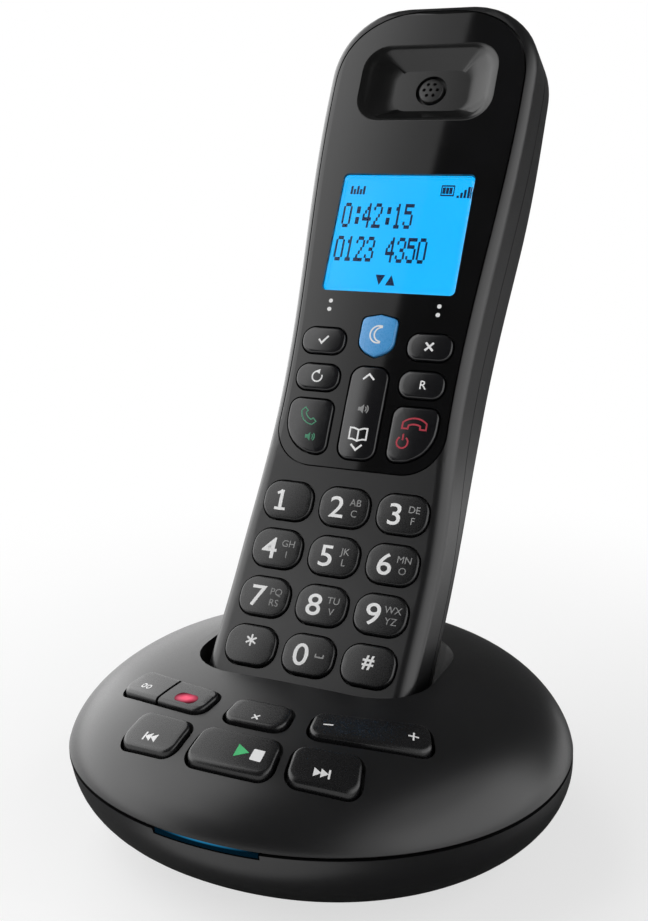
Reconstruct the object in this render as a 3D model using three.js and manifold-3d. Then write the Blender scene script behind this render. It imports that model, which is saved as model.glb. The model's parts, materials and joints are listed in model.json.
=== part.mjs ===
// A telephone answering machine: a round domed base with seven keys and a cradle, and a cordless
// handset that stands in the cradle and leans back.
// Millimetres, +Z up, the front towards -Y. The origin is on the ground, under the middle of the
// whole machine's box. The base's own middle lies in front of it, because the handset leans back.
import * as THREE from "three";
import { mergeVertices } from "three/addons/utils/BufferGeometryUtils.js";
import Module from "manifold-3d";

const wasm = await Module();
wasm.setup();

// Clearances that the whole product shares
const seatGap = 0.3;
const keyGap = 0.35;
const keyTravel = 0.8;
const overrun = 6;
const weldDistance = 0.0001;

// The base: round in plan, with a dome over a tray that draws in towards the ground
const baseRadius = 55.7;
const basePlanPower = 2.09;
const partingHeight = 18.9;
const partingSlope = -0.048;
const domeRise = 18.7;
const domeRisePower = 1.508;
const domeSidePower = 4;
const baseWall = 2;
const trayFootprintRadius = 40.6;
const trayCurvePower = 3.06;
const traySetback = 4.5;
const trayFloor = 2;
const footHeight = 1;
const seamHeight = 0.8;
const lipClearance = 1.2;
const lipThickness = 1.2;
const lipHeight = 2;
const rimHeight = 2;
const lipInset = baseWall + lipClearance;
const boardInset = lipInset + lipThickness + seatGap;
const baseTop = partingHeight + domeRise;
const trayBottom = footHeight;
const trayInside = trayBottom + trayFloor;

// The handset: its face is straight, then bends forward over its lower third
const lowerHalfWidth = 24.3;
const waistHalfWidth = 22.7;
const topHalfWidth = 26.4;
const lowerThickness = 19.2;
const middleThickness = 24.9;
const topThickness = 22.3;
const frontCoverDepth = 11.1;
const handsetWall = 2;
const frontEdgeRadius = 3.5;
const rearEdgeRadius = 6.5;
const bottomEdgeRadius = 3;
const bottomCornerRadius = 9;
const topCornerWidth = 17.5;
const topCornerLength = 18;
const bendAngle = THREE.MathUtils.degToRad(10.25);
const bendBottom = 24;
const bendTop = 53.5;
const gripTop = 33;
const waistPlace = 73;
const shoulderPlace = 152;
const bulgeStart = 34;
const bulgeFull = 76;
const bulgeEnd = 118;
const bulgeGone = 158;

// Where the handset stands: its face meets its lower end here, and leans back by this angle
const seatSetback = 15.8;
const cradleDepth = 8.5;
const cradleLean = THREE.MathUtils.degToRad(38.1);

// The keys that every part of the keypad shares
const keyBevel = 0.5;
const flangeReach = 0.7;
const flangeThickness = 0.9;
const plungerRadius = 1.8;

// The number keys
const numberRowCount = 4;
const numberKeyWidth = 12.1;
const numberKeyHeight = 9.1;
const numberKeyCorner = 3.8;
const numberColumnGap = 1.9;
const numberRowGap = 2.4;
const numberKeyMargin = 9.05;
const numberKeyProud = 1;
const keyColumnPitch = numberKeyWidth + numberColumnGap;
const keyRowPitch = numberKeyHeight + numberRowGap;
const bottomRowPlace = numberKeyMargin + numberKeyHeight / 2;
const topRowPlace = bottomRowPlace + (numberRowCount - 1) * keyRowPitch;

// The gloss panel over the upper face, with the deck under it
const panelGap = 4.55;
const panelInset = 2.3;
const panelThickness = 1.6;
const panelCornerRadius = 10;
const panelTopMargin = 2.4;
const deckThickness = 1.4;
const panelBottom = topRowPlace + numberKeyHeight / 2 + panelGap;
const deckTop = panelThickness + seatGap;
const deckBottom = deckTop + deckThickness;

// The function keys stand round the navigation rocker, and the shield key above it
const functionKeyProud = 0.8;
const navigationWidth = 9.3;
const navigationHeight = 22.3;
const navigationCorner = 3;
const navigationMargin = 2.25;
const navigationPlace = panelBottom + navigationMargin + navigationHeight / 2;
const callKeyWidth = 11;
const callKeyHeight = 13.1;
const callKeyCorner = 2.4;
const callKeySweep = 8.4;
const callKeyMargin = 2.65;
const callKeyGap = 2.75;
const callKeyPlace = panelBottom + callKeyMargin + callKeyHeight / 2;
const callKeyColumn = navigationWidth / 2 + callKeyGap + callKeyWidth / 2;
const functionKeyWidth = 10.9;
const functionKeyHeight = 6.5;
const functionKeyCorner = 2.9;
const functionRowGap = 2.1;
const functionRowSpace = 2.6;
const redialGap = 2.8;
const menuGap = 3.1;
const redialRowPlace = callKeyPlace + callKeyHeight / 2 + functionRowGap + functionKeyHeight / 2;
const redialColumn = navigationWidth / 2 + redialGap + functionKeyWidth / 2;
const menuRowPlace = redialRowPlace + functionKeyHeight + functionRowSpace;
const menuColumn = navigationWidth / 2 + menuGap + functionKeyWidth / 2;
const shieldWidth = 8.8;
const shieldHeight = 10.4;
const shieldGap = 2.45;
const shieldShoulderShare = 0.41;
const shieldWaistShare = -0.12;
const shieldTipShare = 0.25;
const shieldPlace = navigationPlace + navigationHeight / 2 + shieldGap + shieldHeight / 2;

// The display, seen through a window in the panel
const displayWidth = 32.8;
const displayHeight = 29.8;
const displayCorner = 1;
const displayGap = 5.9;
const moduleMargin = 2;
const moduleThickness = 4.2;
const displayPlace = shieldPlace + shieldHeight / 2 + displayGap + displayHeight / 2;
const displayTop = displayPlace + displayHeight / 2;

// The ear recess: a bowl with sloping walls, and a hole in its floor for the earpiece
const earWidth = 33.7;
const earHeight = 19.4;
const earCorner = 6;
const earDepth = 4.2;
const earWall = 1.2;
const earFloorShare = 0.56;
const earGap = 15;
const earTopMargin = 10.3;
const earHoleRadius = 4;
const earCapRadius = 3.1;
const earCapInset = 0.6;
const earpieceRadius = 9.5;
const earpieceThickness = 4;
const earPlace = displayTop + earGap + earHeight / 2;
const handsetLength = earPlace + earHeight / 2 + earTopMargin;

// Steps that set how finely round shapes are cut
const cornerSteps = 3;
const sideSteps = 4;
const baseSteps = 36;
const domeSteps = 7;
const traySteps = 5;
const sectionSteps = 3;
const endSteps = 4;
const bendSteps = 5;
const straightSteps = 9;
const panelSteps = 8;
const shieldSteps = 4;
const stripSteps = 8;
const roundSteps = 16;
const pinSteps = 10;

// Materials, by what each piece is made of
const finish = (color, roughness, metalness = 0) =>
  new THREE.MeshStandardMaterial({ color, roughness, metalness });
const casing = finish(0x17181a, 0.5);
const glossPanel = finish(0x08090a, 0.08);
const keyPlastic = finish(0x141517, 0.35);
const clearPlastic = finish(0x9fd8f5, 0.05);
const litDisplay = finish(0x18a4f0, 0.4);
const blueKey = finish(0x2a86cc, 0.3);
const rubber = finish(0x2b2c2e, 0.9);
const boardGreen = finish(0x1d5b38, 0.6);
const steel = finish(0xb9bcc0, 0.35, 1);
const gold = finish(0xd8b25a, 0.3, 1);
const cellSleeve = finish(0x3d7a4a, 0.45);
const blueGuide = finish(0x0f6fa8, 0.3);
const socketPlastic = finish(0x202124, 0.55);

// Solids and their joins

function solidOf(geometry) {
  const bare = geometry.index ? geometry.toNonIndexed() : geometry.clone();
  bare.deleteAttribute("normal");
  bare.deleteAttribute("uv");
  const merged = mergeVertices(bare, weldDistance);
  return new wasm.Manifold(
    new wasm.Mesh({
      numProp: 3,
      vertProperties: merged.attributes.position.array,
      triVerts: new Uint32Array(merged.index.array),
    }),
  );
}

function geometryOf(solid) {
  const { vertProperties, triVerts } = solid.getMesh();
  const geometry = new THREE.BufferGeometry();
  geometry.setAttribute("position", new THREE.BufferAttribute(vertProperties, 3));
  geometry.setIndex(new THREE.BufferAttribute(triVerts, 1));
  const facets = geometry.toNonIndexed();
  facets.computeVertexNormals();
  return facets;
}

const join = (first, ...others) => others.reduce((whole, next) => whole.add(next), first);
const cut = (first, ...others) => others.reduce((rest, next) => rest.subtract(next), first);
const common = (first, ...others) => others.reduce((rest, next) => rest.intersect(next), first);

function mesh(name, shape, material) {
  const geometry = shape.isBufferGeometry ? shape : geometryOf(shape);
  const piece = new THREE.Mesh(geometry, material);
  piece.name = name;
  return piece;
}

// A closed skin over rings of points. Each ring turns by the right-hand rule about the way that
// leads from the first ring to the last.
function skin(rings) {
  const around = rings[0].length;
  const along = rings.length - 1;
  const geometry = new THREE.CylinderGeometry(1, 1, 1, around, along);
  const position = geometry.attributes.position;
  const middles = rings.map((ring) =>
    ring
      .reduce((sum, point) => sum.add(point), new THREE.Vector3())
      .divideScalar(ring.length),
  );
  for (let v = 0; v < position.count; v++) {
    const x = position.getX(v);
    const z = position.getZ(v);
    const level = Math.round((position.getY(v) + 1 / 2) * along);
    const turn = Math.round((Math.atan2(x, z) / (2 * Math.PI)) * around + around) % around;
    const point = Math.hypot(x, z) < 1 / 2 ? middles[level] : rings[level][turn];
    position.setXYZ(v, point.x, point.y, point.z);
  }
  return geometry;
}

// Outlines are lists of points that turn anticlockwise.

// A rectangle with a radius of its own at each corner, and steps along its straight sides.
function padOutline(width, height, radii, steps = 1) {
  const [lowerRight, upperRight, upperLeft, lowerLeft] = radii.length ? radii : Array(4).fill(radii);
  const corners = [
    [width / 2 - lowerRight, lowerRight - height / 2, lowerRight, -1],
    [width / 2 - upperRight, height / 2 - upperRight, upperRight, 0],
    [upperLeft - width / 2, height / 2 - upperLeft, upperLeft, 1],
    [lowerLeft - width / 2, lowerLeft - height / 2, lowerLeft, 2],
  ];
  const points = [];
  for (const [x, y, radius, quarter] of corners) {
    for (let i = 0; i <= cornerSteps; i++) {
      const angle = ((quarter + i / cornerSteps) * Math.PI) / 2;
      points.push(new THREE.Vector2(x + radius * Math.cos(angle), y + radius * Math.sin(angle)));
    }
    if (steps === 1) continue;
    const from = points[points.length - 1];
    const next = corners[(corners.findIndex((c) => c[3] === quarter) + 1) % corners.length];
    const start = (next[3] * Math.PI) / 2;
    const to = new THREE.Vector2(
      next[0] + next[2] * Math.cos(start),
      next[1] + next[2] * Math.sin(start),
    );
    for (let i = 1; i < steps; i++) points.push(from.clone().lerp(to, i / steps));
  }
  return points;
}

function roundOutline(radius, steps) {
  return Array.from({ length: steps }, (_, i) => {
    const angle = (2 * Math.PI * i) / steps;
    return new THREE.Vector2(radius * Math.cos(angle), radius * Math.sin(angle));
  });
}

// A prism on an outline, from a lower to an upper height along Z.
function prism(points, low, high) {
  const geometry = new THREE.ExtrudeGeometry(new THREE.Shape(points), {
    depth: high - low,
    bevelEnabled: false,
  });
  return geometry.translate(0, 0, low);
}

// A key's cap: the same prism, with its upper edge cut off all round by a bevel.
function capPrism(outline, low, high, bevel) {
  const ringAt = (grow, z) => outline(grow).map((p) => new THREE.Vector3(p.x, p.y, z));
  return skin([ringAt(0, low), ringAt(0, high - bevel), ringAt(-bevel, high)]);
}

function block(width, depth, height, x, y, z) {
  return new THREE.BoxGeometry(width, depth, height).translate(x, y, z);
}

// A smooth rise from 0 to 1 while a place goes from one limit to the next.
function easing(place, from, to) {
  const share = THREE.MathUtils.clamp((place - from) / (to - from), 0, 1);
  return (1 - Math.cos(Math.PI * share)) / 2;
}

// The base's shells

// The plan's distance from its middle, for a share of the base's radius.
function planPoint(radius, angle) {
  const power = basePlanPower;
  const spread = Math.abs(Math.cos(angle)) ** power + Math.abs(Math.sin(angle)) ** power;
  const reach = radius / spread ** (1 / power);
  return [reach * Math.cos(angle), reach * Math.sin(angle)];
}

// The full dome, grown inwards by an inset, and carried down below the parting line by a skirt.
// A skirt below zero starts the dome above the parting line instead.
const domeCrownShare = 0.3;
function domeSolid(inset, skirt) {
  const radius = baseRadius - inset;
  const rise = domeRise - inset;
  const crown = Math.acos(domeCrownShare ** (domeSidePower / 2));
  const rings = [];
  const ring = (share, height, lift) => {
    const points = [];
    for (let i = 0; i < baseSteps; i++) {
      const [x, y] = planPoint(radius * share, (2 * Math.PI * i) / baseSteps);
      const z = partingHeight + partingSlope * y * (1 - height) + rise * height + lift;
      points.push(new THREE.Vector3(x, y, z));
    }
    rings.push(points);
  };
  ring(1, 0, -skirt);
  for (let i = 1; i <= domeSteps; i++) {
    const angle = (crown * i) / domeSteps;
    const height = Math.sin(angle) ** (2 / domeRisePower);
    const share = Math.cos(angle) ** (2 / domeSidePower);
    ring(share, height, 0);
  }
  return solidOf(skin(rings));
}

// The full tray, grown inwards by an inset, from a floor height to a height above the parting line.
function traySolid(inset, floorHeight, top) {
  const rings = [];
  const ring = (drop, lift) => {
    const narrowing = 1 - (1 - trayFootprintRadius / baseRadius) * drop ** trayCurvePower;
    const points = [];
    for (let i = 0; i < baseSteps; i++) {
      const [x, y] = planPoint(baseRadius * narrowing - inset, (2 * Math.PI * i) / baseSteps);
      const rim = partingHeight + partingSlope * y;
      const z = floorHeight + (rim - floorHeight) * (1 - drop) + lift;
      points.push(new THREE.Vector3(x, y + traySetback * drop, z));
    }
    rings.push(points);
  };
  for (let i = 0; i <= traySteps; i++) {
    const angle = ((1 - i / traySteps) * Math.PI) / 2;
    ring(Math.sin(angle), i === traySteps ? top : 0);
  }
  return solidOf(skin(rings));
}

// A straight-sided slice through the base's plan, between two heights above the parting line.
function partingSlice(inset, low, high) {
  const ringAt = (lift) =>
    Array.from({ length: baseSteps }, (_, i) => {
      const [x, y] = planPoint(baseRadius - inset, (2 * Math.PI * i) / baseSteps);
      return new THREE.Vector3(x, y, partingHeight + partingSlope * y + lift);
    });
  return solidOf(skin([ringAt(low), ringAt(high)]));
}

// A band that runs round inside the parting line.
const partingBand = (outerInset, innerInset, low, high) =>
  cut(partingSlice(outerInset, low, high), partingSlice(innerInset, low - overrun, high + overrun));

// The cradle and the handset's own frame

// The handset's face, by the distance from its lower end: place, and how far it is bent forward.
const bendRadius = (bendTop - bendBottom) / bendAngle;
function facePlace(s) {
  if (s >= bendTop) return { y: s, z: 0, bend: 0 };
  const bend = Math.min((bendTop - s) / bendRadius, bendAngle);
  const below = Math.max(bendBottom - s, 0);
  return {
    y: bendTop - bendRadius * Math.sin(bend) - below * Math.cos(bend),
    z: bendRadius * (1 - Math.cos(bend)) + below * Math.sin(bend),
    bend,
  };
}

// A frame on the face: X across, Y up along the handset, Z out of the face.
function faceFrame(s, x = 0) {
  const { y, z, bend } = facePlace(s);
  const frame = new THREE.Group();
  frame.position.set(x, y, z);
  frame.rotation.x = -bend;
  frame.updateMatrix();
  return frame;
}

const onFace = (geometry, s, x = 0) => solidOf(geometry.clone().applyMatrix4(faceFrame(s, x).matrix));

// The handset in the cradle: the frame of its straight upper part, at its lean.
const handset = new THREE.Group();
handset.rotation.x = Math.PI / 2 - (cradleLean - bendAngle);
const lowerEnd = facePlace(0);
const lowerEndFromOrigin = new THREE.Vector3(0, lowerEnd.y, lowerEnd.z).applyEuler(handset.rotation);
const seat = new THREE.Vector3(0, -seatSetback, baseTop - cradleDepth);
handset.position.copy(seat).sub(lowerEndFromOrigin);

// The cradle's frame lines up with the handset's lower end.
const cradle = new THREE.Group();
cradle.position.copy(seat);
cradle.rotation.x = Math.PI / 2 - cradleLean;
cradle.updateMatrix();
const inCradle = (geometry) => solidOf(geometry.clone().applyMatrix4(cradle.matrix));

// The handset's housing

const halfWidthAt = (s) =>
  THREE.MathUtils.lerp(
    THREE.MathUtils.lerp(lowerHalfWidth, waistHalfWidth, easing(s, gripTop, waistPlace)),
    topHalfWidth,
    easing(s, waistPlace, shoulderPlace),
  );
const thicknessAt = (s) =>
  THREE.MathUtils.lerp(
    THREE.MathUtils.lerp(lowerThickness, middleThickness, easing(s, bulgeStart, bulgeFull)),
    topThickness,
    easing(s, bulgeEnd, bulgeGone),
  );

// How much of a quarter round of this size is left at a distance from its end.
const roundLoss = (distance, length, depth) =>
  distance >= length ? 0 : depth * (1 - Math.sqrt(1 - (1 - distance / length) ** 2));

// The housing's places along its length, closer together in its round ends and its bend.
function housingPlaces() {
  const places = [];
  for (let i = 0; i < endSteps; i++) {
    places.push(bottomCornerRadius * (1 - Math.cos((Math.PI / 2) * (i / endSteps))));
  }
  places.push(bottomCornerRadius);
  for (let i = 0; i <= bendSteps; i++) {
    places.push(THREE.MathUtils.lerp(bendBottom, bendTop, i / bendSteps));
  }
  const topStart = handsetLength - topCornerLength;
  for (let i = 1; i <= straightSteps; i++) {
    places.push(THREE.MathUtils.lerp(bendTop, topStart, i / straightSteps));
  }
  for (let i = endSteps - 1; i >= 0; i--) {
    const turn = 1 - Math.cos((Math.PI / 2) * (i / endSteps));
    places.push(handsetLength - topCornerLength * turn);
  }
  return places;
}

// One cross-section of the housing, as points in the face's frame at that place.
function housingRing(s, inset) {
  const fromTop = handsetLength - s;
  const corner =
    roundLoss(s, bottomCornerRadius, bottomCornerRadius) +
    roundLoss(fromTop, topCornerLength, topCornerWidth);
  const half = halfWidthAt(s) - corner - inset;
  const frontLoss =
    roundLoss(s, bottomEdgeRadius, bottomEdgeRadius) +
    roundLoss(fromTop, frontEdgeRadius, frontEdgeRadius);
  const rearLoss =
    roundLoss(s, bottomEdgeRadius, bottomEdgeRadius) +
    roundLoss(fromTop, rearEdgeRadius, rearEdgeRadius);
  const front = -frontLoss - inset;
  const rear = rearLoss + inset - thicknessAt(s);
  const least = handsetWall / 4;
  const frontRadius = Math.max(Math.min(frontEdgeRadius - inset, (front - rear) / 3), least);
  const rearRadius = Math.max(Math.min(rearEdgeRadius - inset, (front - rear) / 2), least);
  const corners = [
    [half - frontRadius, front - frontRadius, frontRadius],
    [half - rearRadius, rear + rearRadius, rearRadius],
    [rearRadius - half, rear + rearRadius, rearRadius],
    [frontRadius - half, front - frontRadius, frontRadius],
  ];
  const points = [];
  corners.forEach(([x, z, radius], quarter) => {
    for (let i = 0; i <= sectionSteps; i++) {
      const angle = ((quarter + i / sectionSteps) * Math.PI) / 2;
      points.push(new THREE.Vector3(x + radius * Math.sin(angle), 0, z + radius * Math.cos(angle)));
    }
  });
  return points;
}

function housingSolid(inset) {
  const rings = housingPlaces().map((s) => {
    const place = THREE.MathUtils.lerp(inset, handsetLength - inset, s / handsetLength);
    const { matrix } = faceFrame(place);
    return housingRing(s, inset).map((point) => point.applyMatrix4(matrix));
  });
  return solidOf(skin(rings));
}

// A slab that follows the face between two depths behind it, wider than the handset.
function faceSlab(fromPlace, toPlace, depth, outer) {
  const half = topHalfWidth + overrun;
  const places = [fromPlace, ...housingPlaces().filter((s) => s > fromPlace && s < toPlace), toPlace];
  const edge = (s, level) => {
    const { y, z, bend } = facePlace(s);
    return new THREE.Vector2(y + level * Math.sin(bend), z + level * Math.cos(bend));
  };
  const lower = places.map((s) => edge(s, -depth));
  const upper = places.map((s) => edge(s, outer)).reverse();
  const points = [...lower, ...upper];
  const geometry = new THREE.ExtrudeGeometry(new THREE.Shape(points), {
    depth: 2 * half,
    bevelEnabled: false,
  });
  geometry.translate(0, 0, -half);
  const turned = new THREE.Matrix4().makeBasis(
    new THREE.Vector3(0, 1, 0),
    new THREE.Vector3(0, 0, 1),
    new THREE.Vector3(1, 0, 0),
  );
  return solidOf(geometry.applyMatrix4(turned));
}

const housing = housingSolid(0);
const housingHollow = housingSolid(handsetWall);

// The gloss panel's outline, grown by a distance
function panelOutline(grow) {
  const bottom = panelBottom - grow;
  const top = handsetLength - panelTopMargin + grow;
  const radius = panelCornerRadius + grow;
  const halfAt = (s) =>
    halfWidthAt(s) -
    panelInset +
    grow -
    roundLoss(s - bottom, radius, radius) -
    roundLoss(top - s, topCornerLength, topCornerWidth);
  const places = [];
  for (let i = 0; i <= endSteps; i++) {
    places.push(bottom + radius * (1 - Math.cos((Math.PI / 2) * (i / endSteps))));
  }
  const topStart = top - topCornerLength;
  for (let i = 1; i < panelSteps; i++) {
    places.push(THREE.MathUtils.lerp(bottom + radius, topStart, i / panelSteps));
  }
  for (let i = endSteps; i >= 0; i--) {
    places.push(top - topCornerLength * (1 - Math.cos((Math.PI / 2) * (i / endSteps))));
  }
  const right = places.map((s) => new THREE.Vector2(halfAt(s), s));
  const left = places.reverse().map((s) => new THREE.Vector2(-halfAt(s), s));
  return [...right, ...left];
}

function displayOutline(grow) {
  return padOutline(displayWidth + 2 * grow, displayHeight + 2 * grow, displayCorner + grow);
}

// The ear recess's bowl, with its walls moved out by a distance, between two heights
function earBowl(grow, low, high) {
  const ringAt = (share, z) =>
    padOutline(
      earWidth * share + 2 * grow,
      earHeight * share + 2 * grow,
      (earCorner + grow) * share,
    ).map((p) => new THREE.Vector3(p.x, p.y, z));
  // The walls slope from the floor up to the face, and run on at the same slope above it.
  const slope = (1 - earFloorShare) / earDepth;
  const rings = [ringAt(1 + slope * low, low), ringAt(1 + slope * high, high)];
  return onFace(skin(rings), earPlace);
}

// The keys. Each has an outline that can be grown, a place on the face and a ceiling over its flange.

function shieldOutline(grow) {
  const width = shieldWidth / 2 + grow;
  const height = shieldHeight + 2 * grow;
  const shoulder = height * shieldShoulderShare;
  const waist = height * shieldWaistShare;
  const pull = waist - height * shieldTipShare;
  const shape = new THREE.Shape();
  shape.moveTo(0, -height / 2);
  shape.quadraticCurveTo(width, pull, width, waist);
  shape.lineTo(width, shoulder);
  shape.lineTo(0, height / 2);
  shape.lineTo(-width, shoulder);
  shape.lineTo(-width, waist);
  shape.quadraticCurveTo(-width, pull, 0, -height / 2);
  return shape.getPoints(shieldSteps).slice(0, -1);
}

const grown = (radii, grow) => radii.map((radius) => radius + grow);
const callRadii = [callKeyCorner, callKeyCorner, callKeyCorner, callKeySweep];
const endRadii = [callKeySweep, callKeyCorner, callKeyCorner, callKeyCorner];
const padKey = (width, height, radii) => (grow) =>
  padOutline(width + 2 * grow, height + 2 * grow, grown(radii, grow));
const numberPad = padKey(numberKeyWidth, numberKeyHeight, Array(4).fill(numberKeyCorner));
const functionPad = padKey(functionKeyWidth, functionKeyHeight, Array(4).fill(functionKeyCorner));
const navigationPad = padKey(navigationWidth, navigationHeight, Array(4).fill(navigationCorner));
const talkPad = padKey(callKeyWidth, callKeyHeight, callRadii);
const endPad = padKey(callKeyWidth, callKeyHeight, endRadii);

const numberRows = [
  ["key_star", "key_0", "key_hash"],
  ["key_7", "key_8", "key_9"],
  ["key_4", "key_5", "key_6"],
  ["key_1", "key_2", "key_3"],
];
const numberKeys = numberRows.flatMap((row, r) =>
  row.map((name, c) => ({
    name,
    outline: numberPad,
    s: bottomRowPlace + r * keyRowPitch,
    x: (c - 1) * keyColumnPitch,
    ceiling: handsetWall,
    proud: numberKeyProud,
    material: keyPlastic,
  })),
);
const functionKey = (name, outline, s, x, material = keyPlastic) => ({
  name,
  outline,
  s,
  x,
  ceiling: deckBottom,
  proud: functionKeyProud,
  material,
});
const functionKeys = [
  functionKey("key_menu", functionPad, menuRowPlace, -menuColumn),
  functionKey("key_mute", functionPad, menuRowPlace, menuColumn),
  functionKey("key_redial", functionPad, redialRowPlace, -redialColumn),
  functionKey("key_recall", functionPad, redialRowPlace, redialColumn),
  functionKey("key_talk", talkPad, callKeyPlace, -callKeyColumn),
  functionKey("key_end", endPad, callKeyPlace, callKeyColumn),
  functionKey("key_do_not_disturb", shieldOutline, shieldPlace, 0, blueKey),
];
const navigationKey = functionKey("key_navigation", navigationPad, navigationPlace, 0);

// The board and the key mat lie flat behind the face, in the frame of its straight part

const boardDepth = 8;
const boardThickness = 1.2;
const boardSideGap = 1.7;
const boardBottom = 10;
const boardOverhang = 9.7;
const boardCorner = 2;
const matThickness = 1.2;
const matMargin = 0.6;
const matOverhang = 1.4;
const boardHalfWidth = waistHalfWidth - handsetWall - boardSideGap;
const boardTop = displayTop + boardOverhang;
const matTop = shieldPlace + shieldHeight / 2 + matOverhang;
const matDepth = boardDepth - seatGap;
const matFace = matDepth - matThickness;

// How far a key's plunger may reach before it meets the mat, with its travel to spare.
function plungerReach(s) {
  const { z, bend } = facePlace(s);
  const toMat = (z + matFace) / Math.cos(bend);
  return toMat - plungerRadius * Math.tan(bend) - keyTravel - seatGap;
}

function keySolid(key) {
  const flangeTop = key.ceiling + seatGap;
  const flangeBottom = flangeTop + flangeThickness;
  return join(
    solidOf(capPrism(key.outline, -flangeTop - flangeThickness / 2, key.proud, keyBevel)),
    solidOf(prism(key.outline(flangeReach), -flangeBottom, -flangeTop)),
    solidOf(prism(roundOutline(plungerRadius, pinSteps), -plungerReach(key.s), -flangeTop)),
  );
}

const rockerShellDepth = 2.2;
const rockerPost = 1.1;
function navigationSolid() {
  return join(
    solidOf(capPrism(navigationPad, -rockerShellDepth, functionKeyProud, keyBevel)),
    solidOf(prism(roundOutline(rockerPost, pinSteps), seatGap - matFace, -rockerShellDepth / 2)),
  );
}

function keyOpening(key, low, high) {
  return onFace(prism(key.outline(keyGap), low, high), key.s, key.x);
}

// Screws, cells and contacts

const cellRadius = 5.25;
const cellLength = 44.5;
const cellBottom = 80;
const cellSpacing = 0.5;
const cellTerminalRadius = 1.9;
const cellTerminalLength = 1;
const doorThickness = 1.6;
const doorWall = 1.6;
const doorBelowCells = 15;
const doorAboveCells = 6.5;
const doorBottom = cellBottom - doorBelowCells;
const doorTop = cellBottom + cellLength + doorAboveCells;
const doorSeat = middleThickness - doorThickness - seatGap;
const cavityFloor = doorSeat - doorWall;
const cellDepth = doorSeat - cellRadius;
const cellColumn = cellRadius + cellSpacing / 2;
const contactThickness = 0.6;
const wellHalfWidth = cellColumn + cellRadius + seatGap;
const wellBottom = cellBottom - seatGap;
const wellTop = cellBottom + cellLength + 2 * seatGap + contactThickness;
const wellWall = 1;
const wellDepth = cellDepth - cellRadius + 2 * wellWall;

const screwAboveCells = 15;
const screwHeadRadius = 2.1;
const screwHeadThickness = 1.4;
const screwRadius = 1;
const screwLength = 9.4;
const bossRadius = 2.6;
const bossGap = 1.75;
const bossDepth = 7.15;
const screwPlace = cellBottom + screwAboveCells;
const screwColumn = wellHalfWidth + wellWall + bossGap + bossRadius;
const screwColumns = [-screwColumn, screwColumn];

const chargeColumn = 8;
const chargeSetback = 2.5;
const chargeDepth = frontCoverDepth + chargeSetback;
const chargeWidth = 5;
const chargeBreadth = 3.2;
const chargeThickness = 1.15;
const chargeSunk = 0.25;
const microphoneRadius = 2.5;
const microphoneThickness = 2.4;
const microphoneDepth = 7.2;
const microphoneHoleRadius = 0.7;

// A round bar along Y, in the frame of a place on the handset.
function barAlongY(radius, from, to, x, z, steps) {
  const geometry = prism(roundOutline(radius, steps), -to, -from);
  return geometry.rotateX(Math.PI / 2).translate(x, 0, z);
}

// A round bar along Z.
function barAlongZ(radius, low, high, x, y, steps) {
  return prism(roundOutline(radius, steps), low, high).translate(x, y, 0);
}

// The front cover: the housing's front part, with the deck under the panel and every opening
function frontCover() {
  const frontPart = common(housing, faceSlab(-overrun, handsetLength + overrun, frontCoverDepth, overrun));
  const deck = common(housing, solidOf(prism(panelOutline(handsetWall), -deckBottom, overrun)));
  const openings = [
    solidOf(prism(panelOutline(seatGap), -deckTop, overrun)),
    onFace(prism(displayOutline(moduleMargin + seatGap), -deckBottom - overrun, 0), displayPlace),
    earBowl(earWall + seatGap, -earDepth - overrun, 0),
    ...numberKeys.map((key) => keyOpening(key, -handsetWall - overrun / 2, overrun)),
    ...[...functionKeys, navigationKey].map((key) => keyOpening(key, -deckBottom - overrun / 2, 0)),
    onFace(barAlongY(microphoneHoleRadius, -overrun, overrun, 0, -microphoneDepth, pinSteps), 0),
  ];
  const upright = (radius, low, high, steps) =>
    screwColumns.map((x) => solidOf(barAlongZ(radius, low, high, x, screwPlace, steps)));
  const bosses = upright(bossRadius, -bossDepth, -deckTop - deckThickness / 2, roundSteps);
  const bossHoles = upright(screwRadius + seatGap, -middleThickness, -deckBottom - deckThickness, pinSteps);
  const shell = join(cut(frontPart, housingHollow), deck, ...bosses);
  return cut(shell, ...openings, ...bossHoles);
}

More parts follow.
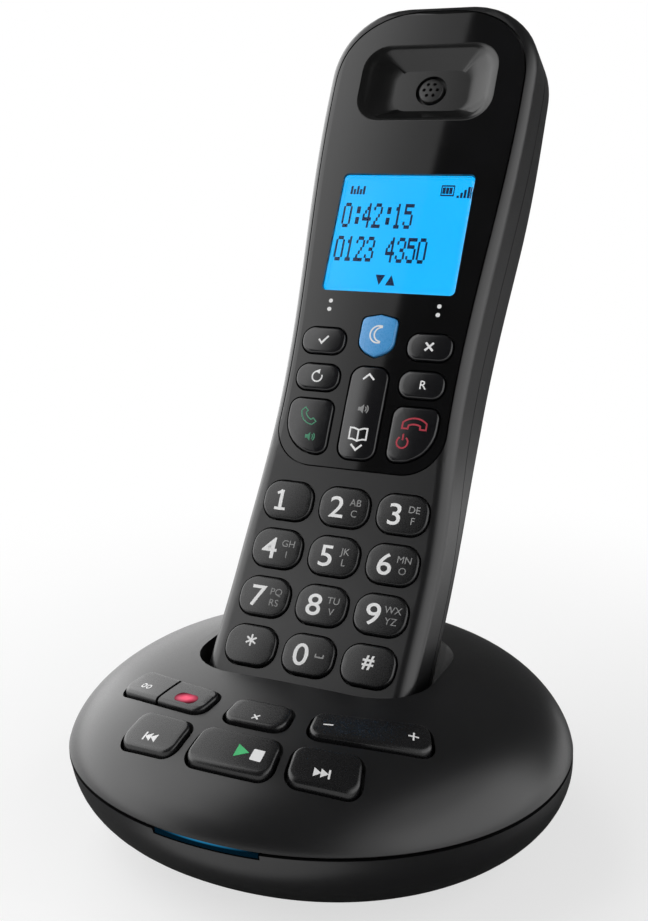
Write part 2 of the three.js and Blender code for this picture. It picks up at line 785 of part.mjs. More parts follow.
// The rear cover: the rest of the housing, with the cell well, the step for the door and the
// seats of the charge contacts
function rearCover() {
  const frontDepth = frontCoverDepth + seatGap;
  const rearPart = cut(housing, faceSlab(-overrun, handsetLength + overrun, frontDepth, 2 * overrun));
  const wide = 2 * (topHalfWidth + overrun);
  const behind = (depth, top) =>
    solidOf(block(wide, 2 * handsetLength, 2 * overrun, 0, top - handsetLength, -depth - overrun));
  const hollow = cut(housingHollow, behind(cavityFloor, doorTop));
  const wellHeight = doorSeat - wellDepth;
  const wellOuter = block(
    2 * (wellHalfWidth + wellWall),
    wellTop - wellBottom + 2 * wellWall,
    wellHeight,
    0,
    (wellTop + wellBottom) / 2,
    -wellDepth - wellHeight / 2,
  );
  const wellInner = block(
    2 * wellHalfWidth,
    wellTop - wellBottom,
    wellHeight + 2 * overrun,
    0,
    (wellTop + wellBottom) / 2,
    -wellDepth - wellHeight / 2,
  );
  const upright = (radius, low, high, steps) =>
    screwColumns.map((x) => solidOf(barAlongZ(radius, low, high, x, screwPlace, steps)));
  const tubes = upright(bossRadius, -cavityFloor - doorWall / 2, -bossDepth - seatGap, roundSteps);
  const headBottom = screwHeadThickness + 2 * seatGap - doorSeat;
  const screwHoles = [
    ...upright(screwRadius + seatGap, -middleThickness, -bossDepth, pinSteps),
    ...upright(screwHeadRadius + seatGap, -middleThickness, headBottom, pinSteps),
  ];
  const contactSeats = [-chargeColumn, chargeColumn].map((x) =>
    onFace(
      block(
        chargeWidth + 2 * seatGap,
        2 * (chargeSunk + chargeThickness + seatGap),
        chargeBreadth + 2 * seatGap,
        x,
        0,
        -chargeDepth,
      ),
      0,
    ),
  );
  const shell = join(cut(rearPart, hollow), solidOf(wellOuter), ...tubes);
  const doorStep = behind(doorSeat, doorTop + seatGap);
  return cut(shell, doorStep, solidOf(wellInner), ...screwHoles, ...contactSeats);
}

function batteryDoor() {
  const region = block(
    2 * (topHalfWidth + overrun),
    doorTop - doorBottom,
    2 * overrun,
    0,
    (doorTop + doorBottom) / 2,
    -doorSeat - seatGap - overrun,
  );
  return common(housing, solidOf(region));
}

function frontPanel() {
  const plate = common(housing, solidOf(prism(panelOutline(0), -panelThickness, overrun)));
  const bowl = earBowl(earWall, -earDepth - earWall, -panelThickness / 2);
  const keyHoles = [...functionKeys, navigationKey].map((key) => keyOpening(key, -overrun, overrun));
  return cut(
    join(plate, bowl),
    earBowl(0, -earDepth, overrun),
    onFace(prism(roundOutline(earHoleRadius, roundSteps), -2 * overrun, overrun), earPlace),
    onFace(prism(displayOutline(seatGap), -overrun, overrun), displayPlace),
    ...keyHoles,
  );
}

const bossClearances = () =>
  screwColumns.map((x) =>
    solidOf(barAlongZ(bossRadius + seatGap, -middleThickness, overrun, x, screwPlace, pinSteps)),
  );

function handsetBoard() {
  const length = boardTop - boardBottom;
  const outline = padOutline(2 * boardHalfWidth, length, boardCorner);
  const sheet = prism(outline, -boardDepth - boardThickness, -boardDepth);
  return cut(solidOf(sheet.translate(0, boardBottom + length / 2, 0)), ...bossClearances());
}

function keyMat() {
  const bottom = boardBottom + matMargin;
  const length = matTop - bottom;
  const outline = padOutline(2 * (boardHalfWidth - matMargin), length, boardCorner);
  const sheet = prism(outline, -matDepth, -matFace);
  return cut(solidOf(sheet.translate(0, bottom + length / 2, 0)), ...bossClearances());
}

function earpiece() {
  const top = -earDepth - earWall - seatGap;
  return join(
    solidOf(prism(roundOutline(earpieceRadius, roundSteps), top - earpieceThickness, top)),
    solidOf(prism(roundOutline(earCapRadius, pinSteps), top - seatGap, -earDepth + earCapInset)),
  );
}

function screw() {
  return join(
    solidOf(barAlongZ(screwHeadRadius, 0, screwHeadThickness, 0, 0, pinSteps)),
    solidOf(barAlongZ(screwRadius, screwHeadThickness / 2, screwLength, 0, 0, pinSteps)),
  );
}

function cell() {
  return join(
    solidOf(barAlongY(cellRadius, 0, cellLength - cellTerminalLength, 0, 0, roundSteps)),
    solidOf(barAlongY(cellTerminalRadius, cellLength / 2, cellLength, 0, 0, pinSteps)),
  );
}

function addHandset() {
  const upright = (piece, x, y, z) => {
    piece.position.set(x, y, z);
    handset.add(piece);
  };
  const atPlace = (piece, s, x = 0) => {
    const frame = faceFrame(s, x);
    frame.add(piece);
    handset.add(frame);
  };
  handset.add(mesh("handset_front_cover", frontCover(), casing));
  handset.add(mesh("handset_rear_cover", rearCover(), casing));
  handset.add(mesh("front_plate", frontPanel(), glossPanel));
  handset.add(mesh("battery_door", batteryDoor(), casing));
  handset.add(mesh("handset_circuit_board", handsetBoard(), boardGreen));
  handset.add(mesh("handset_key_mat", keyMat(), rubber));

  atPlace(mesh("display_window", prism(displayOutline(0), -panelThickness, 0), clearPlastic), displayPlace);
  const moduleShape = prism(displayOutline(moduleMargin), -deckTop - moduleThickness, -deckTop);
  atPlace(mesh("lcd_module", moduleShape, litDisplay), displayPlace);
  atPlace(mesh("earpiece_speaker", earpiece(), steel), earPlace);
  const capsule = barAlongY(
    microphoneRadius,
    handsetWall + seatGap,
    handsetWall + seatGap + microphoneThickness,
    0,
    -microphoneDepth,
    pinSteps,
  );
  atPlace(mesh("microphone", capsule, steel), 0);

  for (const key of [...numberKeys, ...functionKeys]) {
    atPlace(mesh(key.name, keySolid(key), key.material), key.s, key.x);
  }
  atPlace(mesh(navigationKey.name, navigationSolid(), navigationKey.material), navigationPlace);

  for (const [side, sign] of [["left", -1], ["right", 1]]) {
    upright(mesh(`battery_${side}`, cell(), cellSleeve), sign * cellColumn, cellBottom, -cellDepth);
    upright(
      mesh(`handset_screw_${side}`, screw(), steel),
      sign * screwColumn,
      screwPlace,
      seatGap - doorSeat,
    );
    const contact = block(
      chargeWidth,
      chargeThickness,
      chargeBreadth,
      sign * chargeColumn,
      chargeSunk + chargeThickness / 2,
      -chargeDepth,
    );
    atPlace(mesh(`charge_contact_${side}`, contact, gold), 0);
  }
  const strip = block(
    2 * (wellHalfWidth - seatGap),
    contactThickness,
    2 * cellRadius,
    0,
    wellTop - seatGap - contactThickness / 2,
    -cellDepth,
  );
  handset.add(mesh("battery_contact_strip", strip, steel));
}

// The cradle pocket: a flared well from the handset's outline at its floor to a wide mouth

const pocketClearance = 0.6;
const pocketFloorGap = 0.8;
const pocketFloorCorner = 4;
const mouthSideFlare = 3.3;
const mouthDepthFlare = 20.2;
const mouthSetback = 18.5;
const mouthCorner = 14;
const mouthWidth = 2 * (lowerHalfWidth + mouthSideFlare);
const mouthDepth = lowerThickness + mouthDepthFlare;
const mouthMiddle = seat.y + mouthSetback;
const pocketWall = 2;
const mouthRunOutShare = 0.4;

function pocketSolid(grow) {
  const floor = padOutline(
    2 * (lowerHalfWidth + pocketClearance + grow),
    lowerThickness + 2 * (pocketClearance + grow),
    pocketFloorCorner + grow,
    sideSteps,
  ).map((p) =>
    new THREE.Vector3(p.x, -pocketFloorGap - grow, -p.y - lowerThickness / 2).applyMatrix4(cradle.matrix),
  );
  const mouth = padOutline(
    mouthWidth + 2 * grow,
    mouthDepth + 2 * grow,
    mouthCorner + grow,
    sideSteps,
  ).map((p) => new THREE.Vector3(p.x, p.y + mouthMiddle, baseTop));
  const above = mouth.map((point, i) => point.clone().lerp(floor[i], -mouthRunOutShare));
  return solidOf(skin([floor, above]));
}

// The base's keys lie along two arcs and follow the dome

const keyArcY = 47.4;
const rearRowSetback = 24.2;
const baseRowPitch = 11;
const rearRowRadius = keyArcY + baseRadius - rearRowSetback;
const frontRowRadius = rearRowRadius + baseRowPitch;
const rearKeyHeight = 8.2;
const skipKeyHeight = 8.7;
const playKeyHeight = 9.2;
const rearPairWidth = 24.4;
const rearPairAngle = THREE.MathUtils.degToRad(16.8);
const deleteKeyWidth = 13.8;
const skipKeyWidth = 14.4;
const skipKeyAngle = THREE.MathUtils.degToRad(11.9);
const playKeyWidth = 18.4;
const baseKeyCorner = 2.8;
const baseKeyProud = 1.2;
const baseFlangeReach = 0.7;
const pairSplit = 0.4;
const baseBoardRise = 4.7;
const baseBoardThickness = 1.6;
const baseBoardLength = 80;
const baseBoardBreadth = 26;
const baseMatThickness = 1.2;
const baseMatMargin = 0.8;
const baseBoardTop = partingHeight + baseBoardRise;
const baseMatTop = baseBoardTop + seatGap + baseMatThickness;
const baseKeyBottom = baseMatTop + seatGap + keyTravel;
const baseRockerDepth = 3;

// An outline bent along an arc about the keys' common centre.
function bentOutline(width, height, corner, radius, angle) {
  return padOutline(width, height, corner, sideSteps).map((p) => {
    const turn = angle + p.x / radius;
    const reach = radius - p.y;
    return new THREE.Vector2(reach * Math.sin(turn), keyArcY - reach * Math.cos(turn));
  });
}

const arcKey = (width, height, radius, angle) => (grow) =>
  bentOutline(width + 2 * grow, height + 2 * grow, baseKeyCorner + grow, radius, angle);
const pairOutline = arcKey(rearPairWidth, rearKeyHeight, rearRowRadius, -rearPairAngle);
const volumeOutline = arcKey(rearPairWidth, rearKeyHeight, rearRowRadius, rearPairAngle);
const deleteOutline = arcKey(deleteKeyWidth, rearKeyHeight, rearRowRadius, 0);
const playOutline = arcKey(playKeyWidth, playKeyHeight, frontRowRadius, 0);
const skipBackOutline = arcKey(skipKeyWidth, skipKeyHeight, frontRowRadius, -skipKeyAngle);
const skipForwardOutline = arcKey(skipKeyWidth, skipKeyHeight, frontRowRadius, skipKeyAngle);

const column = (points, low) => solidOf(prism(points, low, baseTop + overrun));

const raisedDome = domeSolid(-baseKeyProud, 0);
const underCover = domeSolid(baseWall + seatGap, 0);
const underFlange = domeSolid(baseWall + seatGap + flangeThickness, 0);

function baseKey(outline) {
  const cap = common(column(outline(0), baseKeyBottom), raisedDome);
  const flange = cut(common(column(outline(baseFlangeReach), baseKeyBottom), underCover), underFlange);
  return join(cap, flange);
}

// One side of the split in the pair of keys: a half-plane on one side of the pair's middle line.
function pairSide(sign) {
  const far = 2 * baseRadius;
  const side = block(far, far, far, (sign * (far + pairSplit)) / 2, -far / 2, 0);
  return solidOf(side.rotateZ(-rearPairAngle).translate(0, keyArcY, 0));
}

// The volume rocker: a shallow cap that tilts over its own middle.
function volumeRocker() {
  const cap = common(column(volumeOutline(0), 0), raisedDome);
  return cut(cap, domeSolid(baseRockerDepth, overrun));
}

// The base's inner pieces

const speakerRadius = 17;
const speakerRimThickness = 1.6;
const speakerConeRadius = 12;
const speakerMagnetRadius = 8;
const speakerHeight = 8.6;
const speakerY = 15;
const grilleSlots = 5;
const grilleSlotWidth = 1.5;
const grillePitch = 4.4;
const grilleReachShare = 0.8;
const footRadius = 4.6;
const footSunk = 0.9;
const footMargin = 7.6;
const postRadius = 2.6;
const postPlaceShares = [
  [0.54, -0.39],
  [0.215, -0.59],
];
const postTop = baseBoardTop - baseBoardThickness - seatGap;
const socketX = 10;
const socketSetback = 2.7;
const socketFaceY = baseRadius - socketSetback;
const socketBodyHeight = 9.4;
const socketRestHeight = 2;
const socketRestDepth = 3;
const lineSocketWidth = 12.4;
const lineSocketDepth = 13;
const lineMouthWidth = 9.8;
const lineMouthHeight = 6.8;
const lineMouthDepth = 11;
const powerSocketWidth = 9.4;
const powerSocketDepth = 12.5;
const powerBoreRadius = 3.1;
const powerBoreDepth = 9.5;
const powerPinRadius = 1;
const stripHalfAngle = THREE.MathUtils.degToRad(11.5);
const stripHeight = 1.1;
const stripThickness = 1.3;
const stripInset = 0.4;
const stripSlotDepth = 1.1;

const socketHeight = trayInside + socketRestHeight;
const socketHole = socketHeight + socketBodyHeight / 2;
const seatAngle = seatGap / baseRadius;

// A wedge of a ring that follows the parting line round the front, between two insets.
function partingArc(innerInset, outerInset, low, high, halfAngle) {
  const ringAt = (angle) => {
    const corner = (inset, lift) => {
      const [x, y] = planPoint(baseRadius - inset, angle);
      return new THREE.Vector3(x, y, partingHeight + partingSlope * y + lift);
    };
    return [
      corner(outerInset, low),
      corner(innerInset, low),
      corner(innerInset, high),
      corner(outerInset, high),
    ];
  };
  const rings = [];
  for (let i = 0; i <= stripSteps; i++) {
    rings.push(ringAt(-Math.PI / 2 + halfAngle * ((2 * i) / stripSteps - 1)));
  }
  return skin(rings);
}

const slotLow = -seamHeight / 2 - stripSlotDepth;
const stripLow = slotLow + seatGap;

const pinRadius = 1.2;
const pinLength = 8;
const pinCollarRadius = 2;
const pinCollarThickness = 1.2;
const pinTop = chargeSunk - seatGap;
const pinCollarTop = -pocketFloorGap - pocketWall - seatGap;

function pinHole(x) {
  return inCradle(barAlongY(pinRadius + seatGap, -overrun - pinLength, overrun, x, -chargeDepth, pinSteps));
}

function chargePin() {
  return join(
    solidOf(barAlongY(pinRadius, pinTop - pinLength, pinTop, 0, 0, pinSteps)),
    solidOf(barAlongY(pinCollarRadius, pinCollarTop - pinCollarThickness, pinCollarTop, 0, 0, pinSteps)),
  );
}

function baseTopCover() {
  const dome = domeSolid(0, -seamHeight / 2);
  const tall = domeSolid(0, partingHeight - trayInside);
  const shell = cut(dome, domeSolid(baseWall, overrun));
  const tub = common(pocketSolid(pocketWall), tall);
  const pinHoles = [pinHole(-chargeColumn), pinHole(chargeColumn)];
  const keyOpenings = [
    pairOutline,
    volumeOutline,
    deleteOutline,
    playOutline,
    skipBackOutline,
    skipForwardOutline,
  ].map((outline) => column(outline(keyGap), partingHeight + seamHeight));
  return cut(join(shell, tub), pocketSolid(0), ...pinHoles, ...keyOpenings);
}

function baseTray() {
  const trayTop = -seamHeight / 2;
  const wall = cut(traySolid(0, trayBottom, trayTop), traySolid(baseWall, trayInside, overrun));
  const rim = partingBand(baseWall / 2, lipInset + lipThickness, trayTop - rimHeight, trayTop);
  const lip = partingBand(lipInset, lipInset + lipThickness, -seamHeight, lipHeight);
  const posts = postPlaceShares.flatMap(([x, y]) =>
    [-baseRadius, baseRadius].map((side) =>
      solidOf(barAlongZ(postRadius, trayBottom + trayFloor / 2, postTop, side * x, baseRadius * y, pinSteps)),
    ),
  );
  const rest = (width, depth, x) => {
    const low = trayBottom + trayFloor / 2;
    const high = socketHeight - seatGap;
    const y = socketFaceY - depth + socketRestDepth / 2;
    return solidOf(block(width, socketRestDepth, high - low, x, y, (high + low) / 2));
  };
  const body = join(
    wall,
    rim,
    lip,
    ...posts,
    rest(lineSocketWidth, lineSocketDepth, -socketX),
    rest(powerSocketWidth, powerSocketDepth, socketX),
  );
  const socketWindow = (width, depth, x) =>
    solidOf(
      block(
        width + 2 * seatGap,
        2 * (depth + overrun),
        socketBodyHeight + 2 * seatGap,
        x,
        socketFaceY,
        socketHole,
      ),
    );
  const slots = [];
  for (let i = 0; i < grilleSlots; i++) {
    const offset = (i - (grilleSlots - 1) / 2) * grillePitch;
    const half = grilleReachShare * Math.sqrt(speakerConeRadius ** 2 - offset ** 2);
    slots.push(solidOf(block(2 * half, grilleSlotWidth, 2 * overrun, 0, speakerY + offset, trayBottom)));
  }
  const footSeats = footPlaces().map(([x, y]) =>
    solidOf(barAlongZ(footRadius + seatGap, trayBottom - overrun, trayBottom + footSunk, x, y, roundSteps)),
  );
  const stripSlot = solidOf(
    partingArc(stripInset + stripThickness + seatGap, -overrun, slotLow, overrun, stripHalfAngle + seatAngle),
  );
  return cut(
    body,
    socketWindow(lineSocketWidth, lineSocketDepth, -socketX),
    socketWindow(powerSocketWidth, powerSocketDepth, socketX),
    ...slots,
    ...footSeats,
    stripSlot,
  );
}

function footPlaces() {
  const reach = (trayFootprintRadius - footMargin) * Math.SQRT1_2;
  return [
    [-reach, traySetback - reach],
    [reach, traySetback - reach],
    [-reach, traySetback + reach],
    [reach, traySetback + reach],
  ];
}

function baseBoard(grow, low, high, inset) {
  const outline = bentOutline(
    baseBoardLength + 2 * grow,
    baseBoardBreadth + 2 * grow,
    baseKeyCorner,
    (rearRowRadius + frontRowRadius) / 2,
    0,
  );
  const sheet = common(solidOf(prism(outline, low, high)), domeSolid(inset, overrun));
  return cut(sheet, pocketSolid(pocketWall + seatGap));
}

function speaker() {
  const low = trayInside + seatGap;
  const points = [
    [0, 0],
    [speakerRadius, 0],
    [speakerRadius, speakerRimThickness],
    [speakerConeRadius, speakerRimThickness * 2],
    [speakerMagnetRadius, speakerHeight / 2],
    [speakerMagnetRadius, speakerHeight],
    [0, speakerHeight],
  ].map(([r, z]) => new THREE.Vector2(r, z));
  const geometry = new THREE.LatheGeometry(points, roundSteps);
  return geometry.rotateX(Math.PI / 2).translate(0, speakerY, low);
}

// The sockets' faces lie flush with the tray's curved wall.
function socketBody(width, depth, x) {
  const body = block(width, 2 * depth, socketBodyHeight, x, socketFaceY, socketHole);
  return common(solidOf(body), traySolid(0, trayBottom, 0));
}

function lineSocket() {
  const mouth = block(
    lineMouthWidth,
    2 * lineMouthDepth,
    lineMouthHeight,
    -socketX,
    socketFaceY,
    socketHole,
  );
  return cut(socketBody(lineSocketWidth, lineSocketDepth, -socketX), solidOf(mouth));
}

function powerSocket() {
  const bar = (radius, from, to, steps) =>
    solidOf(barAlongY(radius, from, to, socketX, socketHole, steps));
  const inner = socketFaceY - powerBoreDepth;
  return join(
    cut(
      socketBody(powerSocketWidth, powerSocketDepth, socketX),
      bar(powerBoreRadius, inner, socketFaceY + overrun, roundSteps),
    ),
    bar(powerPinRadius, inner - powerPinRadius, socketFaceY - powerBoreRadius, pinSteps),
  );
}

function addBase(root) {
  root.add(mesh("base_top_cover", baseTopCover(), casing));
  root.add(mesh("base_bottom_tray", baseTray(), casing));
  const guide = partingArc(
    stripInset + stripThickness,
    stripInset,
    stripLow,
    stripLow + stripHeight,
    stripHalfAngle,
  );
  root.add(mesh("light_strip", guide, blueGuide));
  const boardLow = baseBoardTop - baseBoardThickness;
  root.add(mesh("base_circuit_board", baseBoard(0, boardLow, baseBoardTop, boardInset), boardGreen));
  const matLow = baseBoardTop + seatGap;
  root.add(mesh("base_key_mat", baseBoard(-baseMatMargin, matLow, baseMatTop, boardInset + seatGap), rubber));
  root.add(mesh("base_speaker", speaker(), steel));
  root.add(mesh("line_socket", lineSocket(), socketPlastic));
  root.add(mesh("power_socket", powerSocket(), socketPlastic));

  const pair = baseKey(pairOutline);
  root.add(mesh("base_key_find", common(pair, pairSide(-1)), keyPlastic));
  root.add(mesh("base_key_answer", common(pair, pairSide(1)), keyPlastic));
  root.add(mesh("base_key_delete", baseKey(deleteOutline), keyPlastic));
  root.add(mesh("base_key_volume", volumeRocker(), keyPlastic));
  root.add(mesh("base_key_skip_back", baseKey(skipBackOutline), keyPlastic));
  root.add(mesh("base_key_play_stop", baseKey(playOutline), keyPlastic));
  root.add(mesh("base_key_skip_forward", baseKey(skipForwardOutline), keyPlastic));

  const footNames = ["foot_front_left", "foot_front_right", "foot_rear_left", "foot_rear_right"];
  footPlaces().forEach(([x, y], i) => {
    const padTop = trayBottom + footSunk - seatGap;
    const pad = mesh(footNames[i], barAlongZ(footRadius, 0, padTop, 0, 0, roundSteps), rubber);
    pad.position.set(x, y, 0);
    root.add(pad);
  });
  for (const [side, sign] of [["left", -1], ["right", 1]]) {
    const pin = mesh(`charge_pin_${side}`, chargePin(), gold);
    pin.position.set(sign * chargeColumn, 0, -chargeDepth);
    cradle.add(pin);
  }
}

// The machine stands with the middle of its whole box over the origin.
const machine = new THREE.Group();
addBase(machine);
machine.add(cradle);
addHandset();
machine.add(handset);
const box = new THREE.Box3().setFromObject(machine, true);
machine.position.y = -(box.min.y + box.max.y) / 2;

const answeringMachine = new THREE.Group();
answeringMachine.add(machine);

export default answeringMachine;
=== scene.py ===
# %% [markdown]
# A telephone answering machine: a round domed base, and a slim cordless handset that stands in
# its cradle and leans back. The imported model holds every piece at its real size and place. This
# lesson gives the pieces that show their smooth surfaces, their printed signs and their finishes.
# Everything is modelled in millimetres and scaled to metres when a piece is finished.

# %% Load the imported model
import json
from math import acos, atan2, cos, degrees, pi, radians, sin, sqrt, tan

import bmesh
import bpy
from mathutils import Matrix, Vector


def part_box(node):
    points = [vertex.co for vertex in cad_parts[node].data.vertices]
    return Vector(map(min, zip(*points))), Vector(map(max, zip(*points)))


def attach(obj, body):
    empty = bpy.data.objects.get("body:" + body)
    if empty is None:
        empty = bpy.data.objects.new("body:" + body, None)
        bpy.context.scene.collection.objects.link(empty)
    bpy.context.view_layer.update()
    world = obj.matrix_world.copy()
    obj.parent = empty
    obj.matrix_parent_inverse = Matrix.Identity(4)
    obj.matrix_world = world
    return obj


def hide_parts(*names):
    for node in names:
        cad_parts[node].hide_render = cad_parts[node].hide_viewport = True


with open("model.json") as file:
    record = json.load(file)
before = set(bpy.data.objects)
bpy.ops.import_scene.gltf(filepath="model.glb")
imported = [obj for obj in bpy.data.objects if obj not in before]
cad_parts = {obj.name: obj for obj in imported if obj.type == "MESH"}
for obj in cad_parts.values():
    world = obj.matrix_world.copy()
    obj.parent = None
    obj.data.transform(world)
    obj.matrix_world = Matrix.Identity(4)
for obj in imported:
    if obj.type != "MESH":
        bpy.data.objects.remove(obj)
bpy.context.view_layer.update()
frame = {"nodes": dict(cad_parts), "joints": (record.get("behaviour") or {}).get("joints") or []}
millimetre = 0.001
print("nodes in the frame:", len(frame["nodes"]))

# %% [markdown]
# The camera stands to the right of the machine and looks a little down on it. Its place was
# found by fitting the machine's measured points, and its roll is zero, so two angles aim it.

# %% Camera
camera_place = Vector((0.10244, -0.24780, 0.14749))
camera_azimuth = radians(23.835)
camera_pitch = radians(14.515)
camera_lens = 47.573
camera_sensor = 36


def link(name, data):
    """Puts data into the scene as an object."""
    made = bpy.data.objects.new(name, data)
    bpy.context.collection.objects.link(made)
    return made


def aim(thing, place, way):
    """Places a camera or a lamp, and points it a way."""
    thing.location = place
    thing.rotation_mode = "QUATERNION"
    thing.rotation_quaternion = way.to_track_quat("-Z", "Y")


level = cos(camera_pitch)
looking = Vector((-sin(camera_azimuth) * level, cos(camera_azimuth) * level, -sin(camera_pitch)))
camera = link("camera", bpy.data.cameras.new("camera"))
camera.data.lens = camera_lens
camera.data.sensor_width = camera_sensor
aim(camera, camera_place, looking)
bpy.context.scene.camera = camera
bpy.context.scene.view_settings.view_transform = "Standard"

# %% [markdown]
# Two frames carry the shapes. The base's own middle is the middle of its top cover's box. The
# handset's frame lies in the straight upper part of its face, with Y up along the handset and Z
# out of the face. The lift joint's axis tells how far the handset leans.

# %% Frames of the base and the handset
bend_angle = radians(10.25)
bend_bottom = 24
bend_top = 53.5
bend_radius = (bend_top - bend_bottom) / bend_angle
seat_setback = 15.8
seat_height = 29.1


def moved(x, y, z=0):
    return Matrix.Translation((x, y, z))


def rotated(angle, axis):
    return Matrix.Rotation(angle, 4, axis)


lift_axis = next(Vector(j["axis"]) for j in frame["joints"] if j["name"] == "handset_lift")
cradle_lean = atan2(lift_axis.y, lift_axis.z)
cover_low, cover_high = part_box("base_top_cover")
base_middle = (cover_low.y + cover_high.y) / 2 / millimetre
base_frame = moved(0, base_middle)


def face_place(s):
    """Where a place on the handset's face lies, by its distance from the lower end."""
    if s >= bend_top:
        return s, 0, 0
    bend = min((bend_top - s) / bend_radius, bend_angle)
    below = max(bend_bottom - s, 0)
    along = bend_top - bend_radius * sin(bend) - below * cos(bend)
    out = bend_radius * (1 - cos(bend)) + below * sin(bend)
    return along, out, bend


def face_frame(s, x=0):
    """A frame on the face: X across, Y up along the handset, Z out of the face."""
    along, out, bend = face_place(s)
    return moved(x, along, out) @ rotated(-bend, "X")


lean_turn = rotated(pi / 2 - (cradle_lean - bend_angle), "X")
lower_along, lower_out, _ = face_place(0)
seat = Vector((0, base_middle - seat_setback, seat_height))
handset_frame = Matrix.Translation(seat - lean_turn @ Vector((0, lower_along, lower_out))) @ lean_turn
cradle_frame = moved(0, -seat_setback, seat_height) @ rotated(pi / 2 - cradle_lean, "X")
print("cradle leans", round(degrees(cradle_lean), 2), "degrees")

# %% [markdown]
# Most shells here are skins through a row of rings. The first ring is a circle whose points are
# pulled to their places, and each next ring is extruded from the one before. That keeps clean
# quads, so the surface shades smoothly, and both ends are filled, so it can be cut like a solid.

# %% Skins, pads and blocks


def placed(shape, matrix):
    """Moves and turns a whole shape."""
    bmesh.ops.transform(shape, matrix=matrix, verts=shape.verts)
    return shape


def only(items, kind):
    return [item for item in items if isinstance(item, kind)]


def skin(rings):
    """A closed skin through rings of points that all have the same count."""
    shape = bmesh.new()
    row = bmesh.ops.create_circle(shape, cap_ends=False, radius=1, segments=len(rings[0]))["verts"]
    edges = shape.edges[:]
    for i, points in enumerate(rings):
        if i > 0:
            grown = bmesh.ops.extrude_edge_only(shape, edges=edges)["geom"]
            fresh = set(only(grown, bmesh.types.BMVert))
            edges = [edge for edge in only(grown, bmesh.types.BMEdge) if fresh.issuperset(edge.verts)]
            row = [next(e.other_vert(v) for e in v.link_edges if e.other_vert(v) in fresh) for v in row]
        for vert, point in zip(row, points):
            vert.co = point
        if i in (0, len(rings) - 1):
            bmesh.ops.edgeloop_fill(shape, edges=edges)
    bmesh.ops.recalc_face_normals(shape, faces=shape.faces)
    return shape


def grid(width, height):
    """A flat rectangle with one face."""
    flat = bmesh.new()
    bmesh.ops.create_grid(flat, x_segments=1, y_segments=1, size=0.5)
    bmesh.ops.scale(flat, vec=(width, height, 1), verts=flat.verts)
    return flat


def round_off(flat, corners, radius, steps):
    """Rounds corners of a flat shape."""
    how = {"offset_type": "OFFSET", "profile": 0.5, "affect": "VERTICES", "material": -1}
    bmesh.ops.bevel(flat, geom=corners, offset=radius, segments=steps, **how)


def face_points(flat, order):
    """The corners of a flat shape's face, from the lowest in an order."""
    flat.faces.ensure_lookup_table()
    points = [loop.vert.co.to_2d() for loop in flat.faces[0].loops]
    flat.free()
    first = min(range(len(points)), key=lambda i: order(points[i]))
    return points[first:] + points[:first]


def pad_outline(width, height, radii, corner_steps=8, side_cuts=0):
    """A rectangle with rounded corners: lower left, lower right, upper right, upper left."""
    flat = grid(width, height)
    corners = sorted(flat.verts, key=lambda v: atan2(v.co.y, v.co.x))
    for corner, radius in zip(corners, radii):
        round_off(flat, [corner], radius, corner_steps)
    if side_cuts:
        sides = sorted(flat.edges, key=lambda e: -e.calc_length())[:4]
        bmesh.ops.subdivide_edges(flat, edges=sides, cuts=side_cuts)
    return face_points(flat, lambda point: point.x + point.y)


def prism(points, low, high):
    """A straight prism on a flat outline."""
    return skin([[(x, y, z) for x, y in points] for z in (low, high)])


def block(width, depth, height, middle):
    """A plain block, as a tool that cuts."""
    shape = bmesh.new()
    bmesh.ops.create_cube(shape, size=1)
    bmesh.ops.scale(shape, vec=(width, depth, height), verts=shape.verts)
    bmesh.ops.translate(shape, vec=middle, verts=shape.verts)
    return shape


def bar(radius, low, high, frame_of_bar=Matrix(), steps=32):
    """A round bar along its frame's Z."""
    shape = bmesh.new()
    ends = {"radius1": radius, "radius2": radius, "depth": high - low}
    bmesh.ops.create_cone(shape, cap_ends=True, segments=steps, **ends)
    bmesh.ops.translate(shape, vec=(0, 0, (high + low) / 2), verts=shape.verts)
    return placed(shape, frame_of_bar)


def turned(profile, frame_of_piece=Matrix(), steps=48):
    """A piece turned on a lathe, from (radius, height) points that start and end on its axis."""
    shape = bmesh.new()
    verts = [shape.verts.new((radius, 0, height)) for radius, height in profile]
    edges = [shape.edges.new(pair) for pair in zip(verts, verts[1:])]
    about = {"cent": (0, 0, 0), "axis": (0, 0, 1), "angle": 2 * pi}
    bmesh.ops.spin(shape, geom=verts + edges, steps=steps, use_merge=True, **about)
    bmesh.ops.remove_doubles(shape, verts=shape.verts, dist=0.0001)
    bmesh.ops.recalc_face_normals(shape, faces=shape.faces)
    return placed(shape, frame_of_piece)


# %% [markdown]
# A moulded shell is easiest to understand as solids that are joined and cut, and the Boolean
# modifier does just that. Its result is kept as a plain mesh, so no modifier is left behind.

# %% Joining and cutting


def as_piece(shape, name="tool"):
    """Turns a bmesh into an object in the scene. An object stays what it is."""
    if isinstance(shape, bpy.types.Object):
        return shape
    mesh = bpy.data.meshes.new(name)
    shape.to_mesh(mesh)
    shape.free()
    return link(name, mesh)


def settled(piece):
    """The mesh that an object's modifiers make."""
    graph = bpy.context.evaluated_depsgraph_get()
    return bpy.data.meshes.new_from_object(piece.evaluated_get(graph))


def carve(piece, operation, tools):
    """Runs one Boolean for each tool, and throws the tools away."""
    piece = as_piece(piece)
    tools = [as_piece(tool) for tool in tools]
    for tool in tools:
        step = piece.modifiers.new("carve", "BOOLEAN")
        step.operation = operation
        step.solver = "MANIFOLD"
        step.object = tool
    mesh = settled(piece)
    piece.modifiers.clear()
    piece.data = mesh
    for tool in tools:
        bpy.data.objects.remove(tool)
    return piece


def cut(piece, *tools):
    return carve(piece, "DIFFERENCE", tools)


def join(piece, *tools):
    return carve(piece, "UNION", tools)


def common(piece, *tools):
    return carve(piece, "INTERSECT", tools)


